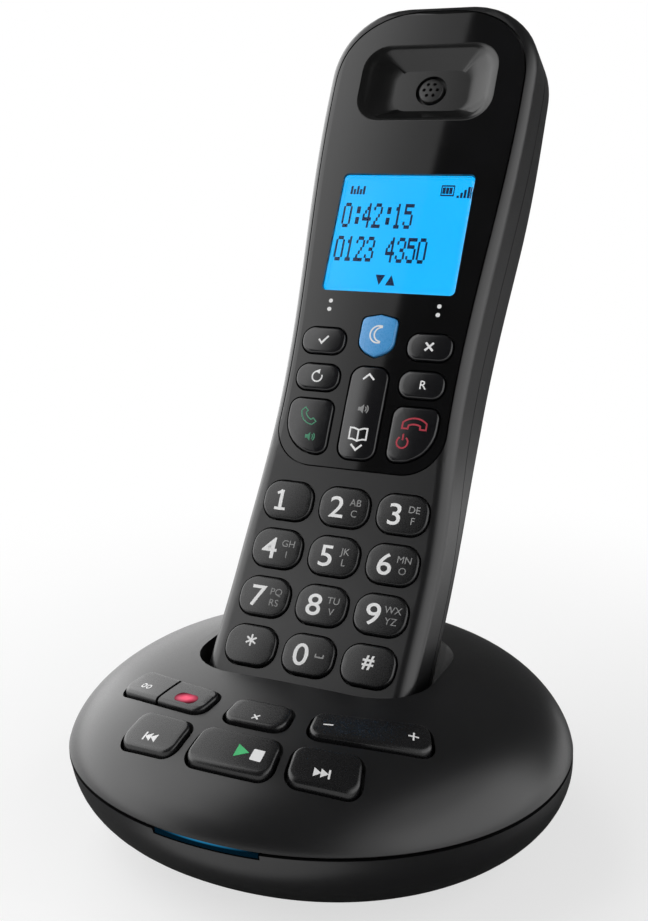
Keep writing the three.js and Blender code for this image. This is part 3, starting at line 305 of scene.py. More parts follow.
# %% [markdown]
# When a piece is finished it gets its name, its material and its body. Its faces are shaded
# smooth up to a sharp angle, so that moulded edges stay crisp. A large flat face next to a small
# rounded edge would shade as if it were curved, so Weighted Normal lets the large faces lead.
# Mirror-like pieces get exact normals on their flat face instead.

# %% Finishing a piece
sharp_angle = radians(32)
materials = {}


def flat_leads(mesh, way):
    """Gives the smooth corners that touch the flat face that looks this way its own normal."""
    flat = {v for face in mesh.polygons if face.normal.dot(way) > 0.9999 for v in face.vertices}
    normals = [Vector((0, 0, 0)) for loop in mesh.loops]
    for face in mesh.polygons:
        if face.normal.dot(way) > cos(sharp_angle):
            for loop in face.loop_indices:
                if mesh.loops[loop].vertex_index in flat:
                    normals[loop] = way
    mesh.normals_split_custom_set(normals)


def second_look(piece, look, place, chosen):
    """Gives another material to the faces whose middles, in a frame in millimetres, are chosen."""
    piece.data.materials.append(materials[look])
    local = (Matrix.Scale(millimetre, 4) @ place).inverted()
    for face in piece.data.polygons:
        if chosen(local @ face.center):
            face.material_index = 1


def finish(piece, name, slot, body, nodes=(), place=Matrix(), look=None, flat_way=None):
    """Places a finished piece, gives it its finish, and lets it ride on its body."""
    piece = as_piece(piece)
    piece.name = name
    piece.data.name = name
    piece.data.transform(Matrix.Scale(millimetre, 4) @ place)
    piece.data.polygons.foreach_set("use_smooth", [True] * len(piece.data.polygons))
    piece.data.set_sharp_from_angle(angle=sharp_angle)
    if flat_way:
        flat_leads(piece.data, flat_way)
    else:
        large_faces_lead = piece.modifiers.new("large faces lead", "WEIGHTED_NORMAL")
        large_faces_lead.keep_sharp = True
    piece.data.materials.clear()
    piece.data.materials.append(materials[look or slot])
    if nodes:
        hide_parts(*nodes)
    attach(piece, body)
    print(name, len(piece.data.polygons), "faces")
    return piece


# %% [markdown]
# Moulded black plastic is never one flat black. Its base colour drifts a little, and a fine spark
# texture breaks up the highlights. Noise on Object coordinates gives both at their real size,
# because a piece's coordinates are metres.

# %% Materials from noise
noise_low = 0.3
noise_high = 0.7
colour_grain = 12 * millimetre
gloss_drift = 0.1


def feed(tree, node, inputs):
    """Sets a node's inputs. Each takes a plain value, or the output that is wired to it."""
    for name, value in dict(inputs).items():
        if isinstance(value, bpy.types.NodeSocket):
            tree.links.new(value, node.inputs[name])
        else:
            node.inputs[name].default_value = value


def add_node(tree, kind, inputs=(), **settings):
    """Adds a node with its settings and inputs, and gives its outputs."""
    node = tree.nodes.new("ShaderNode" + kind)
    for name, value in settings.items():
        setattr(node, name, value)
    feed(tree, node, inputs)
    return node.outputs


def new_material(name, colour, roughness, inputs=()):
    """A Principled material whose flat values are set on the shader's own sockets."""
    look = bpy.data.materials.new(name)
    look.use_nodes = True
    materials[name] = look
    shader = look.node_tree.nodes["Principled BSDF"]
    feed(look.node_tree, shader, {"Base Color": (*colour, 1), "Roughness": roughness, **dict(inputs)})
    return look.node_tree, shader


def noise(tree, grain, detail=3):
    """A noise texture whose grains are this many metres apart."""
    place = add_node(tree, "TexCoord")["Object"]
    return add_node(tree, "TexNoise", {"Vector": place, "Scale": 1 / grain, "Detail": detail})["Fac"]


def spread(tree, source, low, high):
    """Lets a noise move between two values or two colours."""
    if isinstance(low, tuple):
        ramp = tree.nodes.new("ShaderNodeValToRGB")
        for end, place, colour in zip(ramp.color_ramp.elements, (noise_low, noise_high), (low, high)):
            end.position = place
            end.color = (*colour, 1)
        feed(tree, ramp, {"Fac": source})
        return ramp.outputs["Color"]
    span = {"From Min": noise_low, "From Max": noise_high, "To Min": low, "To Max": high}
    return add_node(tree, "MapRange", {"Value": source, **span})["Result"]


def plastic(name, dark, light, roughness, grain, height, inputs=()):
    """A moulded plastic: drifting colour, uneven gloss and a fine texture."""
    tree, shader = new_material(name, light, roughness, inputs)
    fine = noise(tree, grain)
    bump = add_node(tree, "Bump", {"Strength": 1, "Distance": height, "Height": fine})["Normal"]
    colour = spread(tree, noise(tree, colour_grain), dark, light)
    gloss = spread(tree, fine, roughness * (1 - gloss_drift), roughness * (1 + gloss_drift))
    feed(tree, shader, {"Base Color": colour, "Roughness": gloss, "Normal": bump})


plastic("casing", (0.0055, 0.0055, 0.006), (0.0075, 0.0075, 0.008), 0.33, 0.00035, 0.0000022)
# painted shade: a darker casing for the cradle pocket and the key openings, where the handset and the dome
# shade them; its higher roughness blurs their reflections
plastic("painted_shade_casing", (0.003, 0.003, 0.003), (0.0045, 0.0045, 0.0045), 0.6, 0.0004, 0.000003)
plastic("gloss_panel", (0.003, 0.003, 0.003), (0.0045, 0.0045, 0.005), 0.045, 0.004, 0.0000002)
plastic("ear_bowl", (0.004, 0.004, 0.004), (0.006, 0.006, 0.006), 0.22, 0.0006, 0.000001)
plastic("keys", (0.0055, 0.0055, 0.006), (0.0075, 0.0075, 0.008), 0.28, 0.0003, 0.0000012)
plastic("gloss_keys", (0.005, 0.005, 0.006), (0.008, 0.008, 0.009), 0.16, 0.0008, 0.000001)
plastic("blue_key", (0.06, 0.29, 0.62), (0.08, 0.36, 0.74), 0.28, 0.0004, 0.000001)
plastic("rubber", (0.012, 0.012, 0.012), (0.02, 0.02, 0.02), 0.85, 0.0006, 0.00001)
plastic("socket", (0.01, 0.01, 0.01), (0.016, 0.016, 0.016), 0.5, 0.0004, 0.000004)
plastic("cell_sleeve", (0.02, 0.09, 0.04), (0.03, 0.13, 0.055), 0.3, 0.002, 0.000002)
plastic("circuit_board", (0.006, 0.05, 0.02), (0.012, 0.085, 0.035), 0.45, 0.0012, 0.00001)
plastic("white_ink", (0.74, 0.74, 0.74), (0.82, 0.82, 0.82), 0.5, 0.0002, 0.000001)
plastic("grey_ink", (0.2, 0.2, 0.2), (0.3, 0.3, 0.3), 0.5, 0.0002, 0.000001)
plastic("green_ink", (0.035, 0.2, 0.11), (0.05, 0.26, 0.14), 0.5, 0.0002, 0.000001)
plastic("play_green", (0.03, 0.42, 0.13), (0.05, 0.52, 0.18), 0.5, 0.0002, 0.000001)
plastic("red_ink", (0.34, 0.012, 0.03), (0.45, 0.02, 0.045), 0.5, 0.0002, 0.000001)
plastic("steel", (0.5, 0.51, 0.53), (0.62, 0.63, 0.65), 0.3, 0.0006, 0.000003, {"Metallic": 1})
plastic("contacts", (0.75, 0.53, 0.2), (0.88, 0.66, 0.3), 0.25, 0.0005, 0.000002, {"Metallic": 1})
print("materials:", ", ".join(sorted(materials)))

# %% [markdown]
# The display is a lit panel under a clear window. Its glow is the same blue all over, a little
# paler to one side, and the characters are dark cells on it. The lamp behind the answer key and
# the light guide in the base's groove glow in the same way, only faintly.

# %% Materials that glow
unlit_share = 0.1
glow_roughness = 0.4


def glow(name, dark, light, strength, grain):
    """A plastic that is lit from behind, and dark by itself."""
    own_colour = [value * unlit_share for value in dark]
    lit = {"Emission Strength": strength, "Specular IOR Level": 0}
    tree, shader = new_material(name, own_colour, glow_roughness, lit)
    feed(tree, shader, {"Emission Color": spread(tree, noise(tree, grain, 1), dark, light)})


def eased(tree, source, values):
    """Maps a value to another one smoothly."""
    values = {"Value": source, **values}
    return add_node(tree, "MapRange", values, interpolation_type="SMOOTHSTEP")["Result"]


def fading(tree, vector, values):
    """A value that fades smoothly with the length of a vector."""
    reach = add_node(tree, "VectorMath", {0: vector}, operation="LENGTH")["Value"]
    return eased(tree, reach, values)


def fade_glow(name, middle, radii, strength):
    """Lets a glow fade from a middle to nothing, over radii along X, Y and Z in millimetres."""
    tree = materials[name].node_tree
    sizes = {"Location": Vector(middle) * millimetre, "Scale": Vector(radii) * millimetre}
    sizes["Vector"] = add_node(tree, "TexCoord")["Object"]
    shares = add_node(tree, "Mapping", sizes, vector_type="TEXTURE")["Vector"]
    faded = fading(tree, shares, {"To Min": strength, "To Max": 0})
    feed(tree, tree.nodes["Principled BSDF"], {"Emission Strength": faded})


glow("display", (0.002, 0.42, 0.98), (0.006, 0.46, 1.0), 1.03, 0.03)
glow("light_guide", (0.01, 0.11, 0.22), (0.015, 0.18, 0.36), 1, 0.01)
glow("lamp", (0.8, 0.08, 0.15), (1, 0.2, 0.3), 1, 0.002)
glow("dark_cell", (0.0005, 0.012, 0.06), (0.001, 0.02, 0.09), 0.6, 0.003)
clear = {"Transmission Weight": 1, "IOR": 1.25}
plastic("display_window", (0.98, 0.98, 0.98), (1, 1, 1), 0.03, 0.004, 0.0000002, clear)

# %% [markdown]
# The base is round, but its plan is a little squarer than a circle, so a superellipse gives its
# rings. The same formula gives the height of the dome at any place, which lets every key follow
# the dome exactly.

# %% The base's curved surfaces
base_radius = 55.7
base_plan_power = 2.09
parting_height = 18.9
parting_slope = -0.048
dome_rise = 18.7
dome_rise_power = 1.508
dome_side_power = 4
dome_crown_share = 0.3
base_wall = 2
base_top = parting_height + dome_rise
tray_footprint_radius = 40.6
tray_curve_power = 3.06
tray_setback = 4.5
tray_floor = 2
foot_height = 1
seam_height = 0.8
overrun = 6
seat_gap = 0.3
around_steps = 192
dome_steps = 30
tray_steps = 22


def plan_size(x, y):
    """The size of the base's plan, grown until it passes through a place."""
    return (abs(x) ** base_plan_power + abs(y) ** base_plan_power) ** (1 / base_plan_power)


def plan_point(radius, angle):
    reach = radius / plan_size(cos(angle), sin(angle))
    return reach * cos(angle), reach * sin(angle)


def plan_ring(radius):
    """Places round the base's plan, anticlockwise."""
    return [plan_point(radius, 2 * pi * i / around_steps) for i in range(around_steps)]


def dome_solid(inset, skirt):
    """The full dome, grown inwards by an inset, and carried down by a skirt."""
    radius = base_radius - inset
    rise = dome_rise - inset
    crown = acos(dome_crown_share ** (dome_side_power / 2))

    def ring(share, height, lift):
        return [
            (x, y, parting_height + parting_slope * y * (1 - height) + rise * height + lift)
            for x, y in plan_ring(radius * share)
        ]

    rings = [ring(1, 0, -skirt)]
    for i in range(1, dome_steps + 1):
        angle = crown * i / dome_steps
        share = cos(angle) ** (2 / dome_side_power)
        rings.append(ring(share, sin(angle) ** (2 / dome_rise_power), 0))
    return skin(rings)


def dome_height(x, y, proud=0):
    """The height of the dome over a place on the plan."""
    share = plan_size(x, y) / (base_radius + proud)
    height = max(1 - share**dome_side_power, 0) ** (1 / dome_rise_power)
    return parting_height + parting_slope * y * (1 - height) + (dome_rise + proud) * height


def tray_solid(inset, floor_height, top):
    """The full tray, grown inwards by an inset, from a floor to a height above the parting line."""

    def ring(drop, lift):
        narrowing = 1 - (1 - tray_footprint_radius / base_radius) * drop**tray_curve_power
        points = []
        for x, y in plan_ring(base_radius * narrowing - inset):
            rise = parting_height + parting_slope * y - floor_height
            points.append((x, y + tray_setback * drop, floor_height + rise * (1 - drop) + lift))
        return points

    rings = []
    for i in range(tray_steps + 1):
        angle = (1 - i / tray_steps) * pi / 2
        rings.append(ring(sin(angle), top if i == tray_steps else 0))
    return skin(rings)


# %% [markdown]
# The cradle is a flared pocket. Its floor is the handset's own outline with a little room, lying
# square to the way the handset leans, and its mouth is a wide rounded opening in the dome.

# %% The cradle pocket
pocket_clearance = 0.6
pocket_floor_gap = 0.8
pocket_floor_corner = 4
lower_half_width = 24.3
lower_thickness = 19.2
mouth_side_flare = 3.3
mouth_depth_flare = 20.2
mouth_setback = 18.5
mouth_corner = 14
pocket_wall = 2
mouth_run_out_share = 0.4
pocket_side_cuts = 12


def pocket_solid(grow):
    """The cradle pocket, grown outwards, from its floor to above the dome."""

    def pad(wider, deeper, corner):
        width = 2 * (lower_half_width + wider + grow)
        depth = lower_thickness + deeper + 2 * grow
        return pad_outline(width, depth, [corner + grow] * 4, side_cuts=pocket_side_cuts)

    floor = [
        cradle_frame @ Vector((x, -pocket_floor_gap - grow, -y - lower_thickness / 2))
        for x, y in pad(pocket_clearance, 2 * pocket_clearance, pocket_floor_corner)
    ]
    mouth = [
        Vector((x, y + mouth_setback - seat_setback, base_top))
        for x, y in pad(mouth_side_flare, mouth_depth_flare, mouth_corner)
    ]
    above = [m.lerp(f, -mouth_run_out_share) for m, f in zip(mouth, floor)]
    return skin([floor, above])


# %% [markdown]
# The base's keys lie along two arcs about a common centre behind the machine. An outline is a
# rounded pad that is bent along its arc, and it can be grown for the opening around the key.

# %% Outlines of the base's keys
key_gap = 0.35
key_arc_y = 47.4
rear_row_radius = 78.9
front_row_radius = 89.9
rear_key_height = 8.2
skip_key_height = 8.7
play_key_height = 9.2
rear_pair_width = 24.4
rear_pair_angle = radians(16.8)
delete_key_width = 13.8
skip_key_width = 14.4
skip_key_angle = radians(11.9)
play_key_width = 18.4
base_key_corner = 2.8
base_key_proud = 1.2
base_key_bottom = 26.2
pair_split = 0.4
base_side_cuts = 12


def bend(points, radius, angle):
    """Bends flat places along an arc about the keys' centre."""
    bent = [(radius - y, angle + x / radius) for x, y in points]
    return [(reach * sin(turn), key_arc_y - reach * cos(turn)) for reach, turn in bent]


def arc_key(width, height, radius, angle):
    """The outline of a base key: it can be grown, or shrunk about its own middle."""

    def outline(grow, share=1):
        corners = [base_key_corner + grow] * 4
        pad = pad_outline(width + 2 * grow, height + 2 * grow, corners, side_cuts=base_side_cuts)
        return bend([(x * share, y * share) for x, y in pad], radius, angle)

    return outline


base_outlines = {
    "pair": arc_key(rear_pair_width, rear_key_height, rear_row_radius, -rear_pair_angle),
    "volume": arc_key(rear_pair_width, rear_key_height, rear_row_radius, rear_pair_angle),
    "delete": arc_key(delete_key_width, rear_key_height, rear_row_radius, 0),
    "play_stop": arc_key(play_key_width, play_key_height, front_row_radius, 0),
    "skip_back": arc_key(skip_key_width, skip_key_height, front_row_radius, -skip_key_angle),
    "skip_forward": arc_key(skip_key_width, skip_key_height, front_row_radius, skip_key_angle),
}

# %% [markdown]
# The top cover is the dome with its inside taken out, a tub for the cradle joined in, and the
# openings for the cradle, the charge pins and the keys cut through.

# %% The top cover
charge_columns = (-8, 8)
charge_depth = 13.6
pin_radius = 1.2
pin_length = 8
tub_bottom = 5
# Where the painted shade in the cradle and the key openings begins: below the dome's surface and above the
# parting line.
shade_depth = 0.6
shade_bottom = parting_height + 4


def charge_frame(x):
    """A charge pin's frame: Z points up out of the cradle's floor."""
    return cradle_frame @ moved(x, 0, -charge_depth) @ rotated(-pi / 2, "X")


tub = common(pocket_solid(pocket_wall), dome_solid(0, parting_height - tub_bottom))
top_cover = cut(dome_solid(0, -seam_height / 2), dome_solid(base_wall, overrun))
top_cover = join(top_cover, tub)
pin_low = -overrun - pin_length
pin_holes = [bar(pin_radius + seat_gap, pin_low, overrun, charge_frame(x)) for x in charge_columns]
key_holes = [
    prism(outline(key_gap), parting_height + seam_height, base_top + overrun)
    for outline in base_outlines.values()
]
top_cover = cut(top_cover, pocket_solid(0), *pin_holes, *key_holes)
finish(top_cover, "top_cover", "casing", "base", ["base_top_cover"], base_frame)


# The cradle pocket and the key openings get a darker casing: painted shade in these hollows, which the handset
# and the dome shade.
def in_painted_shade(spot):
    """Whether a place lies in the cradle or in a key's opening."""
    return spot.z > shade_bottom and dome_height(spot.x, spot.y) - spot.z > shade_depth


second_look(top_cover, "painted_shade_casing", base_frame, in_painted_shade)

# %% [markdown]
# The tray closes the base from below. It draws in towards the ground, carries a lip that stands
# inside the top cover, and has openings for the sound, the sockets, the feet and the light guide.

# %% The bottom tray
lip_clearance = 1.2
lip_thickness = 1.2
lip_height = 2
rim_height = 2
lip_inset = base_wall + lip_clearance
tray_top = -seam_height / 2
tray_inside = foot_height + tray_floor
speaker_y = 15
speaker_cone_radius = 12
grille_slots = 5
grille_slot_width = 1.5
grille_pitch = 4.4
grille_reach_share = 0.8
grille_corner_share = 0.49
foot_radius = 4.6
foot_sunk = 0.9
foot_margin = 7.6
socket_x = 10
socket_face_y = 53
socket_body_height = 9.4
socket_lift = 2
socket_middle = tray_inside + socket_lift + socket_body_height / 2
line_socket_width = 12.4
line_socket_depth = 13
power_socket_width = 9.4
power_socket_depth = 12.5
strip_half_angle = radians(11.5)
strip_height = 1.1
strip_thickness = 1.3
strip_inset = 0.4
strip_slot_depth = 1.1
strip_steps = 48
slot_low = tray_top - strip_slot_depth


def parting_slice(inset, low, high):
    """A straight-sided slice through the base's plan, between heights above the parting line."""
    ring = plan_ring(base_radius - inset)
    return skin(
        [[(x, y, parting_height + parting_slope * y + lift) for x, y in ring] for lift in (low, high)]
    )


def parting_band(outer_inset, inner_inset, low, high):
    """A band that runs round inside the parting line."""
    inner = parting_slice(inner_inset, low - overrun, high + overrun)
    return cut(parting_slice(outer_inset, low, high), inner)


def parting_arc(inner_inset, outer_inset, low, high, half_angle):
    """A wedge of a ring that follows the parting line round the front."""

    def corner(angle, inset, lift):
        x, y = plan_point(base_radius - inset, angle)
        return x, y, parting_height + parting_slope * y + lift

    section = ((outer_inset, low), (inner_inset, low), (inner_inset, high), (outer_inset, high))
    angles = [-pi / 2 + half_angle * (2 * i / strip_steps - 1) for i in range(strip_steps + 1)]
    return skin([[corner(angle, inset, lift) for inset, lift in section] for angle in angles])


def foot_places():
    """The four feet stand on a circle inside the tray's footprint."""
    reach = (tray_footprint_radius - foot_margin) * sqrt(0.5)
    return [(sx * reach, tray_setback + sy * reach) for sy in (-1, 1) for sx in (-1, 1)]


def socket_block(width, depth, height, x):
    """A block that reaches into the back of the base."""
    return block(width, 2 * depth, height, (x, socket_face_y, socket_middle))


tray = cut(tray_solid(0, foot_height, tray_top), tray_solid(base_wall, tray_inside, overrun))
tray = join(
    tray,
    parting_band(base_wall / 2, lip_inset + lip_thickness, tray_top - rim_height, tray_top),
    parting_band(lip_inset, lip_inset + lip_thickness, -seam_height, lip_height),
)
slots = []
for i in range(grille_slots):
    offset = (i - (grille_slots - 1) / 2) * grille_pitch
    half = grille_reach_share * sqrt(speaker_cone_radius**2 - offset**2)
    slot_pad = pad_outline(2 * half, grille_slot_width, [grille_slot_width * grille_corner_share] * 4)
    slots.append(prism([(x, y + speaker_y + offset) for x, y in slot_pad], -overrun, tray_inside + overrun))
window_height = socket_body_height + 2 * seat_gap
windows = [
    socket_block(width + 2 * seat_gap, depth + overrun, window_height, x)
    for width, depth, x in (
        (line_socket_width, line_socket_depth, -socket_x),
        (power_socket_width, power_socket_depth, socket_x),
    )
]
foot_seats = [
    bar(foot_radius + seat_gap, -overrun, foot_height + foot_sunk, moved(x, y))
    for x, y in foot_places()
]
strip_back = strip_inset + strip_thickness
slot_half_angle = strip_half_angle + seat_gap / base_radius
strip_slot = parting_arc(strip_back + seat_gap, -overrun, slot_low, overrun, slot_half_angle)
tray = cut(tray, *slots, *windows, *foot_seats, strip_slot)
finish(tray, "bottom_tray", "casing", "base", ["base_bottom_tray"], base_frame)

# %% [markdown]
# The light guide is a blue bar in the groove at the front, skinned the same way. Only its upper
# edge lets light out, most in the middle, so its glow fades downwards and towards both ends.

# %% The light guide
strip_low = slot_low + seat_gap
strip = parting_arc(strip_back, strip_inset, strip_low, strip_low + strip_height, strip_half_angle)
finish(strip, "light_guide_bar", "light_guide", "base", ["light_strip"], base_frame)
strip_top = parting_height - parting_slope * base_radius + strip_low + strip_height
strip_reach = (10.5, 1000, 0.4)
strip_strength = 1.2
fade_glow("light_guide", (0, 0, strip_top), strip_reach, strip_strength)

# %% [markdown]
# Four rubber feet and two sockets finish the base. The feet are turned with a rounded rim. The
# socket bodies are cut by the tray's own surface, so that their faces lie flush with the wall.

# %% Feet and sockets
foot_round = 0.5
round_share = 0.3
line_mouth_width = 9.8
line_mouth_height = 6.8
line_mouth_depth = 11
power_bore_radius = 3.1
power_bore_depth = 9.5
power_pin_radius = 1
contact_wire_radius = 0.25
contact_wire_pitch = 1.25
power_pin_share = 0.3

foot_names = ["foot_front_left", "foot_front_right", "foot_rear_left", "foot_rear_right"]
foot_top = foot_height + foot_sunk - seat_gap
foot_profile = [
    (0, 0),
    (foot_radius - foot_round, 0),
    (foot_radius - foot_round * round_share, foot_round * round_share),
    (foot_radius, foot_round),
    (foot_radius, foot_top),
    (0, foot_top),
]
for name, (x, y) in zip(foot_names, foot_places()):
    finish(turned(foot_profile, moved(x, y)), name + "_pad", "rubber", "base", [name], base_frame)


def along_y(x):
    """A frame whose Z points out of the back of the base."""
    return moved(x, socket_face_y, socket_middle) @ rotated(-pi / 2, "X")


def socket_body(width, depth, x):
    """A socket's body, flush with the tray's wall."""
    return common(socket_block(width, depth, socket_body_height, x), tray_solid(0, foot_height, 0))


line_socket = cut(
    socket_body(line_socket_width, line_socket_depth, -socket_x),
    socket_block(line_mouth_width, line_mouth_depth, line_mouth_height, -socket_x),
)
finish(line_socket, "line_socket_body", "socket", "base", ["line_socket"], base_frame)
lift = moved(0, 0, line_mouth_height / 2 - contact_wire_radius * 2)
wires = [
    bar(contact_wire_radius, -line_mouth_depth, -line_mouth_depth / 2, lift @ along_y(x), 12)
    for x in [(i - 1.5) * contact_wire_pitch - socket_x for i in range(4)]
]
finish(join(*wires), "line_socket_contacts", "contacts", "base", (), base_frame)
power_socket = cut(
    socket_body(power_socket_width, power_socket_depth, socket_x),
    bar(power_bore_radius, -power_bore_depth, overrun, along_y(socket_x)),
)
finish(power_socket, "power_socket_body", "socket", "base", ["power_socket"], base_frame)
pin_end = -power_bore_depth * power_pin_share
power_pin = bar(power_pin_radius, -power_bore_depth, pin_end, along_y(socket_x), 24)
finish(power_pin, "power_socket_pin", "steel", "base", (), base_frame)

# %% [markdown]
# The charge pins are turned: a plunger with a domed tip, on a collar that keeps it in its hole.

# %% Charge pins
charge_sunk = 0.25
pin_top = charge_sunk - seat_gap
pin_collar_radius = 2
pin_collar_thickness = 1.2
pin_collar_top = -pocket_floor_gap - pocket_wall - seat_gap
tip_steps = 6



def domed_tip(radius, top, rise):
    """The end of a turned profile: a dome that closes on the axis."""
    turns = [pi / 2 * i / tip_steps for i in range(tip_steps)]
    return [(radius * cos(turn), top - rise * (1 - sin(turn))) for turn in turns] + [(0, top)]


under = pin_collar_top - pin_collar_thickness
pin_profile = [
    (0, pin_top - pin_length),
    (pin_radius, pin_top - pin_length),
    (pin_radius, under),
    (pin_collar_radius, under),
    (pin_collar_radius, pin_collar_top),
    (pin_radius, pin_collar_top),
    *domed_tip(pin_radius, pin_top, pin_radius),
]
for name, x in zip(("charge_pin_left", "charge_pin_right"), charge_columns):
    pin = turned(pin_profile, charge_frame(x), 32)
    finish(pin, name + "_plunger", "contacts", name, [name], base_frame)

# %% [markdown]
# A key's cap is a skin too. Its wall rises to a rounded edge, and then the rings shrink towards
# the middle and follow the height of the top. A function gives that height, so the same lines
# make the flat keys of the handset and the keys that follow the dome.

# %% Key caps
edge_steps = 5
top_shares = (0.85, 0.68, 0.5, 0.32, 0.16, 0.05)


def key_cap(outline, skirt, top, edge, lift=0):
    """A cap with a rounded edge. top gives the height of the cap over a place."""
    rings = [[(x, y, skirt + lift) for x, y in outline(0)]]
    for i in range(edge_steps + 1):
        turn = pi / 2 * i / edge_steps
        drop = edge * (1 - sin(turn)) - lift
        rings.append([(x, y, top(x, y) - drop) for x, y in outline(-edge * (1 - cos(turn)))])
    for share in top_shares:
        rings.append([(x, y, top(x, y) + lift) for x, y in outline(-edge, share)])
    return skin(rings)


# %% [markdown]
# Signs are printed. Each one is a thick tool that is cut down to a thin layer of ink, by keeping
# what it shares with a key that is a hair taller and taking away a key that is a hair lower. So
# the ink lies on the key's curve everywhere. Strokes are thin walls that Solidify gives their
# width, and figures come from the built-in font.

# %% Printed signs
ink_height = 0.035
stroke_width = 0.34
sign_depth = 3
capital_share = 0.73


def stroke(points, width=stroke_width, closed=False):
    """A wall of a width along a path, standing on the path's plane."""
    shape = bmesh.new()
    verts = [shape.verts.new((x, y, -sign_depth)) for x, y in points]
    edges = [shape.edges.new(pair) for pair in zip(verts, verts[1:])]
    if closed:
        edges.append(shape.edges.new((verts[-1], verts[0])))
    grown = bmesh.ops.extrude_edge_only(shape, edges=edges)["geom"]
    bmesh.ops.translate(shape, vec=(0, 0, 2 * sign_depth), verts=only(grown, bmesh.types.BMVert))
    wall = as_piece(shape)
    thicken = wall.modifiers.new("width", "SOLIDIFY")
    thicken.thickness = width
    thicken.offset = 0
    thicken.use_even_offset = True
    mesh = settled(wall)
    wall.modifiers.clear()
    wall.data = mesh
    return tidy_normals(wall)


def tidy_normals(piece):
    """Merges a closed piece's doubled corners, and turns its faces outwards."""
    shape = bmesh.new()
    shape.from_mesh(piece.data)
    bmesh.ops.remove_doubles(shape, verts=shape.verts, dist=0.0005)
    bmesh.ops.recalc_face_normals(shape, faces=shape.faces)
    shape.to_mesh(piece.data)
    shape.free()
    return piece


def filled(points):
    """A filled shape, as a prism."""
    return as_piece(prism(points, -sign_depth, sign_depth))


def arc(radius, start, end, middle=(0, 0), steps=14):
    """Points along an arc, in degrees."""
    turns = [radians(start + (end - start) * i / steps) for i in range(steps + 1)]
    return [(middle[0] + radius * cos(t), middle[1] + radius * sin(t)) for t in turns]


def figure(text, height, bold):
    """Text as a prism, centred, with capitals of this height."""
    curve = bpy.data.curves.new("figure", "FONT")
    curve.body = text
    curve.size = height / capital_share
    curve.offset = bold * height
    curve.extrude = sign_depth
    curve.align_x = "CENTER"
    curve.resolution_u = 5
    words = link("words", curve)
    mesh = settled(words)
    bpy.data.objects.remove(words)
    mesh.transform(moved(0, -height / 2))
    return tidy_normals(link("figure", mesh))


def at(tool, x=0, y=0, turn=0, scale=1, wide=1):
    """Moves, turns and scales a sign on its key."""
    sized = Matrix.Diagonal((scale * wide, scale, 1, 1))
    tool.data.transform(moved(x, y) @ rotated(radians(turn), "Z") @ sized)
    return tool


def print_signs(tools, cap, name, look, body, sign_frame, place):
    """Cuts signs down to ink on a cap, and finishes them as one piece."""
    for tool in tools:
        tool.data.transform(sign_frame)
    inks = [cut(common(cap(ink_height), tool), cap(-ink_height)) for tool in tools]
    finish(join(*inks), name, "keys", body, (), place, look)


# %% [markdown]
# The signs themselves are plain shapes: triangles, crosses, rings, an open book, a receiver. The
# receiver is drawn once, hung up, and turned for the other key.

# %% Sign shapes


def triangle(width, height, mirrored=False):
    tip = -width / 2 if mirrored else width / 2
    return filled([(-tip, -height / 2), (tip, 0), (-tip, height / 2)])


def cross(size, width=stroke_width, turn=45):
    half = size / 2
    bars = [stroke([(-half, 0), (half, 0)], width), stroke([(0, -half), (0, half)], width)]
    return [at(one, turn=turn) for one in bars]


def chevron(width, height, thick):
    return stroke([(-width / 2, -height / 2), (0, height / 2), (width / 2, -height / 2)], thick)


def receiver(thick):
    """A receiver, hung up: an arch between two ends that point down."""
    crown = arc(4.6, 132, 48, (0, -3.2))
    under = arc(3.6, 65, 115, (0, -3.75))
    return stroke([(-3.1, -1.35), *crown, (3.1, -1.35), (1.6, -1.35), *under, (-1.6, -1.35)], thick, True)


def open_book(width, height, thick):
    """Two pages that meet in the middle."""
    dip = height * 0.16
    page = [(0, height / 2 - dip), (width * 0.3, height / 2), (width / 2, height / 2)]
    page += [(width / 2, -height / 2), (width * 0.3, -height / 2), (0, -height / 2 - dip)]
    left = [(-x, y) for x, y in page]
    return [stroke(page, thick, True), stroke(left, thick, True)]


def loudspeaker(size, thick):
    """A loudspeaker with two waves."""
    body = [(-0.9, -0.35), (-0.4, -0.35), (0.15, -0.85), (0.15, 0.85), (-0.4, 0.35), (-0.9, 0.35)]
    waves = [arc(radius, -45, 45, (0.05, 0)) for radius in (0.62, 1)]
    body, *waves = [[(x * size, y * size) for x, y in path] for path in (body, *waves)]
    return [filled(body), *[stroke(wave, thick) for wave in waves]]


# %% [markdown]
# The base's caps follow the dome and stand a little proud of it. Their flanges lie under the top
# cover. One cap is split in two, and the long one tips to both sides.

# %% The base's keys
base_key_edge = 0.7
cap_inset = 0.35
cap_lowered = 0.2
cap_proud = base_key_proud - cap_lowered
flange_reach = 0.7
flange_thickness = 0.9


def on_dome(x, y):
    return dome_height(x, y, cap_proud)


def base_cap(outline, skirt=base_key_bottom):
    """A cap on the dome, drawn in a little, as a function of how far it is raised."""

    def drawn_in(grow, share=1):
        return outline(grow - cap_inset, share)

    return lambda lift=0: key_cap(drawn_in, skirt, on_dome, base_key_edge, lift)


def base_key(outline):
    """A cap with its flange under the cover."""
    under = base_wall + seat_gap
    flange = [
        [(x, y, dome_height(x, y) - depth) for x, y in outline(flange_reach)]
        for depth in (under + flange_thickness, under)
    ]
    return join(base_cap(outline)(), skin(flange))


def pair_side(sign):
    """One side of the split between the pair of keys."""
    far = 2 * base_radius
    side = block(far, far, far, (sign * (far + pair_split + cap_inset) / 2, -far / 2, 0))
    return placed(side, moved(0, key_arc_y) @ rotated(-rear_pair_angle, "Z"))


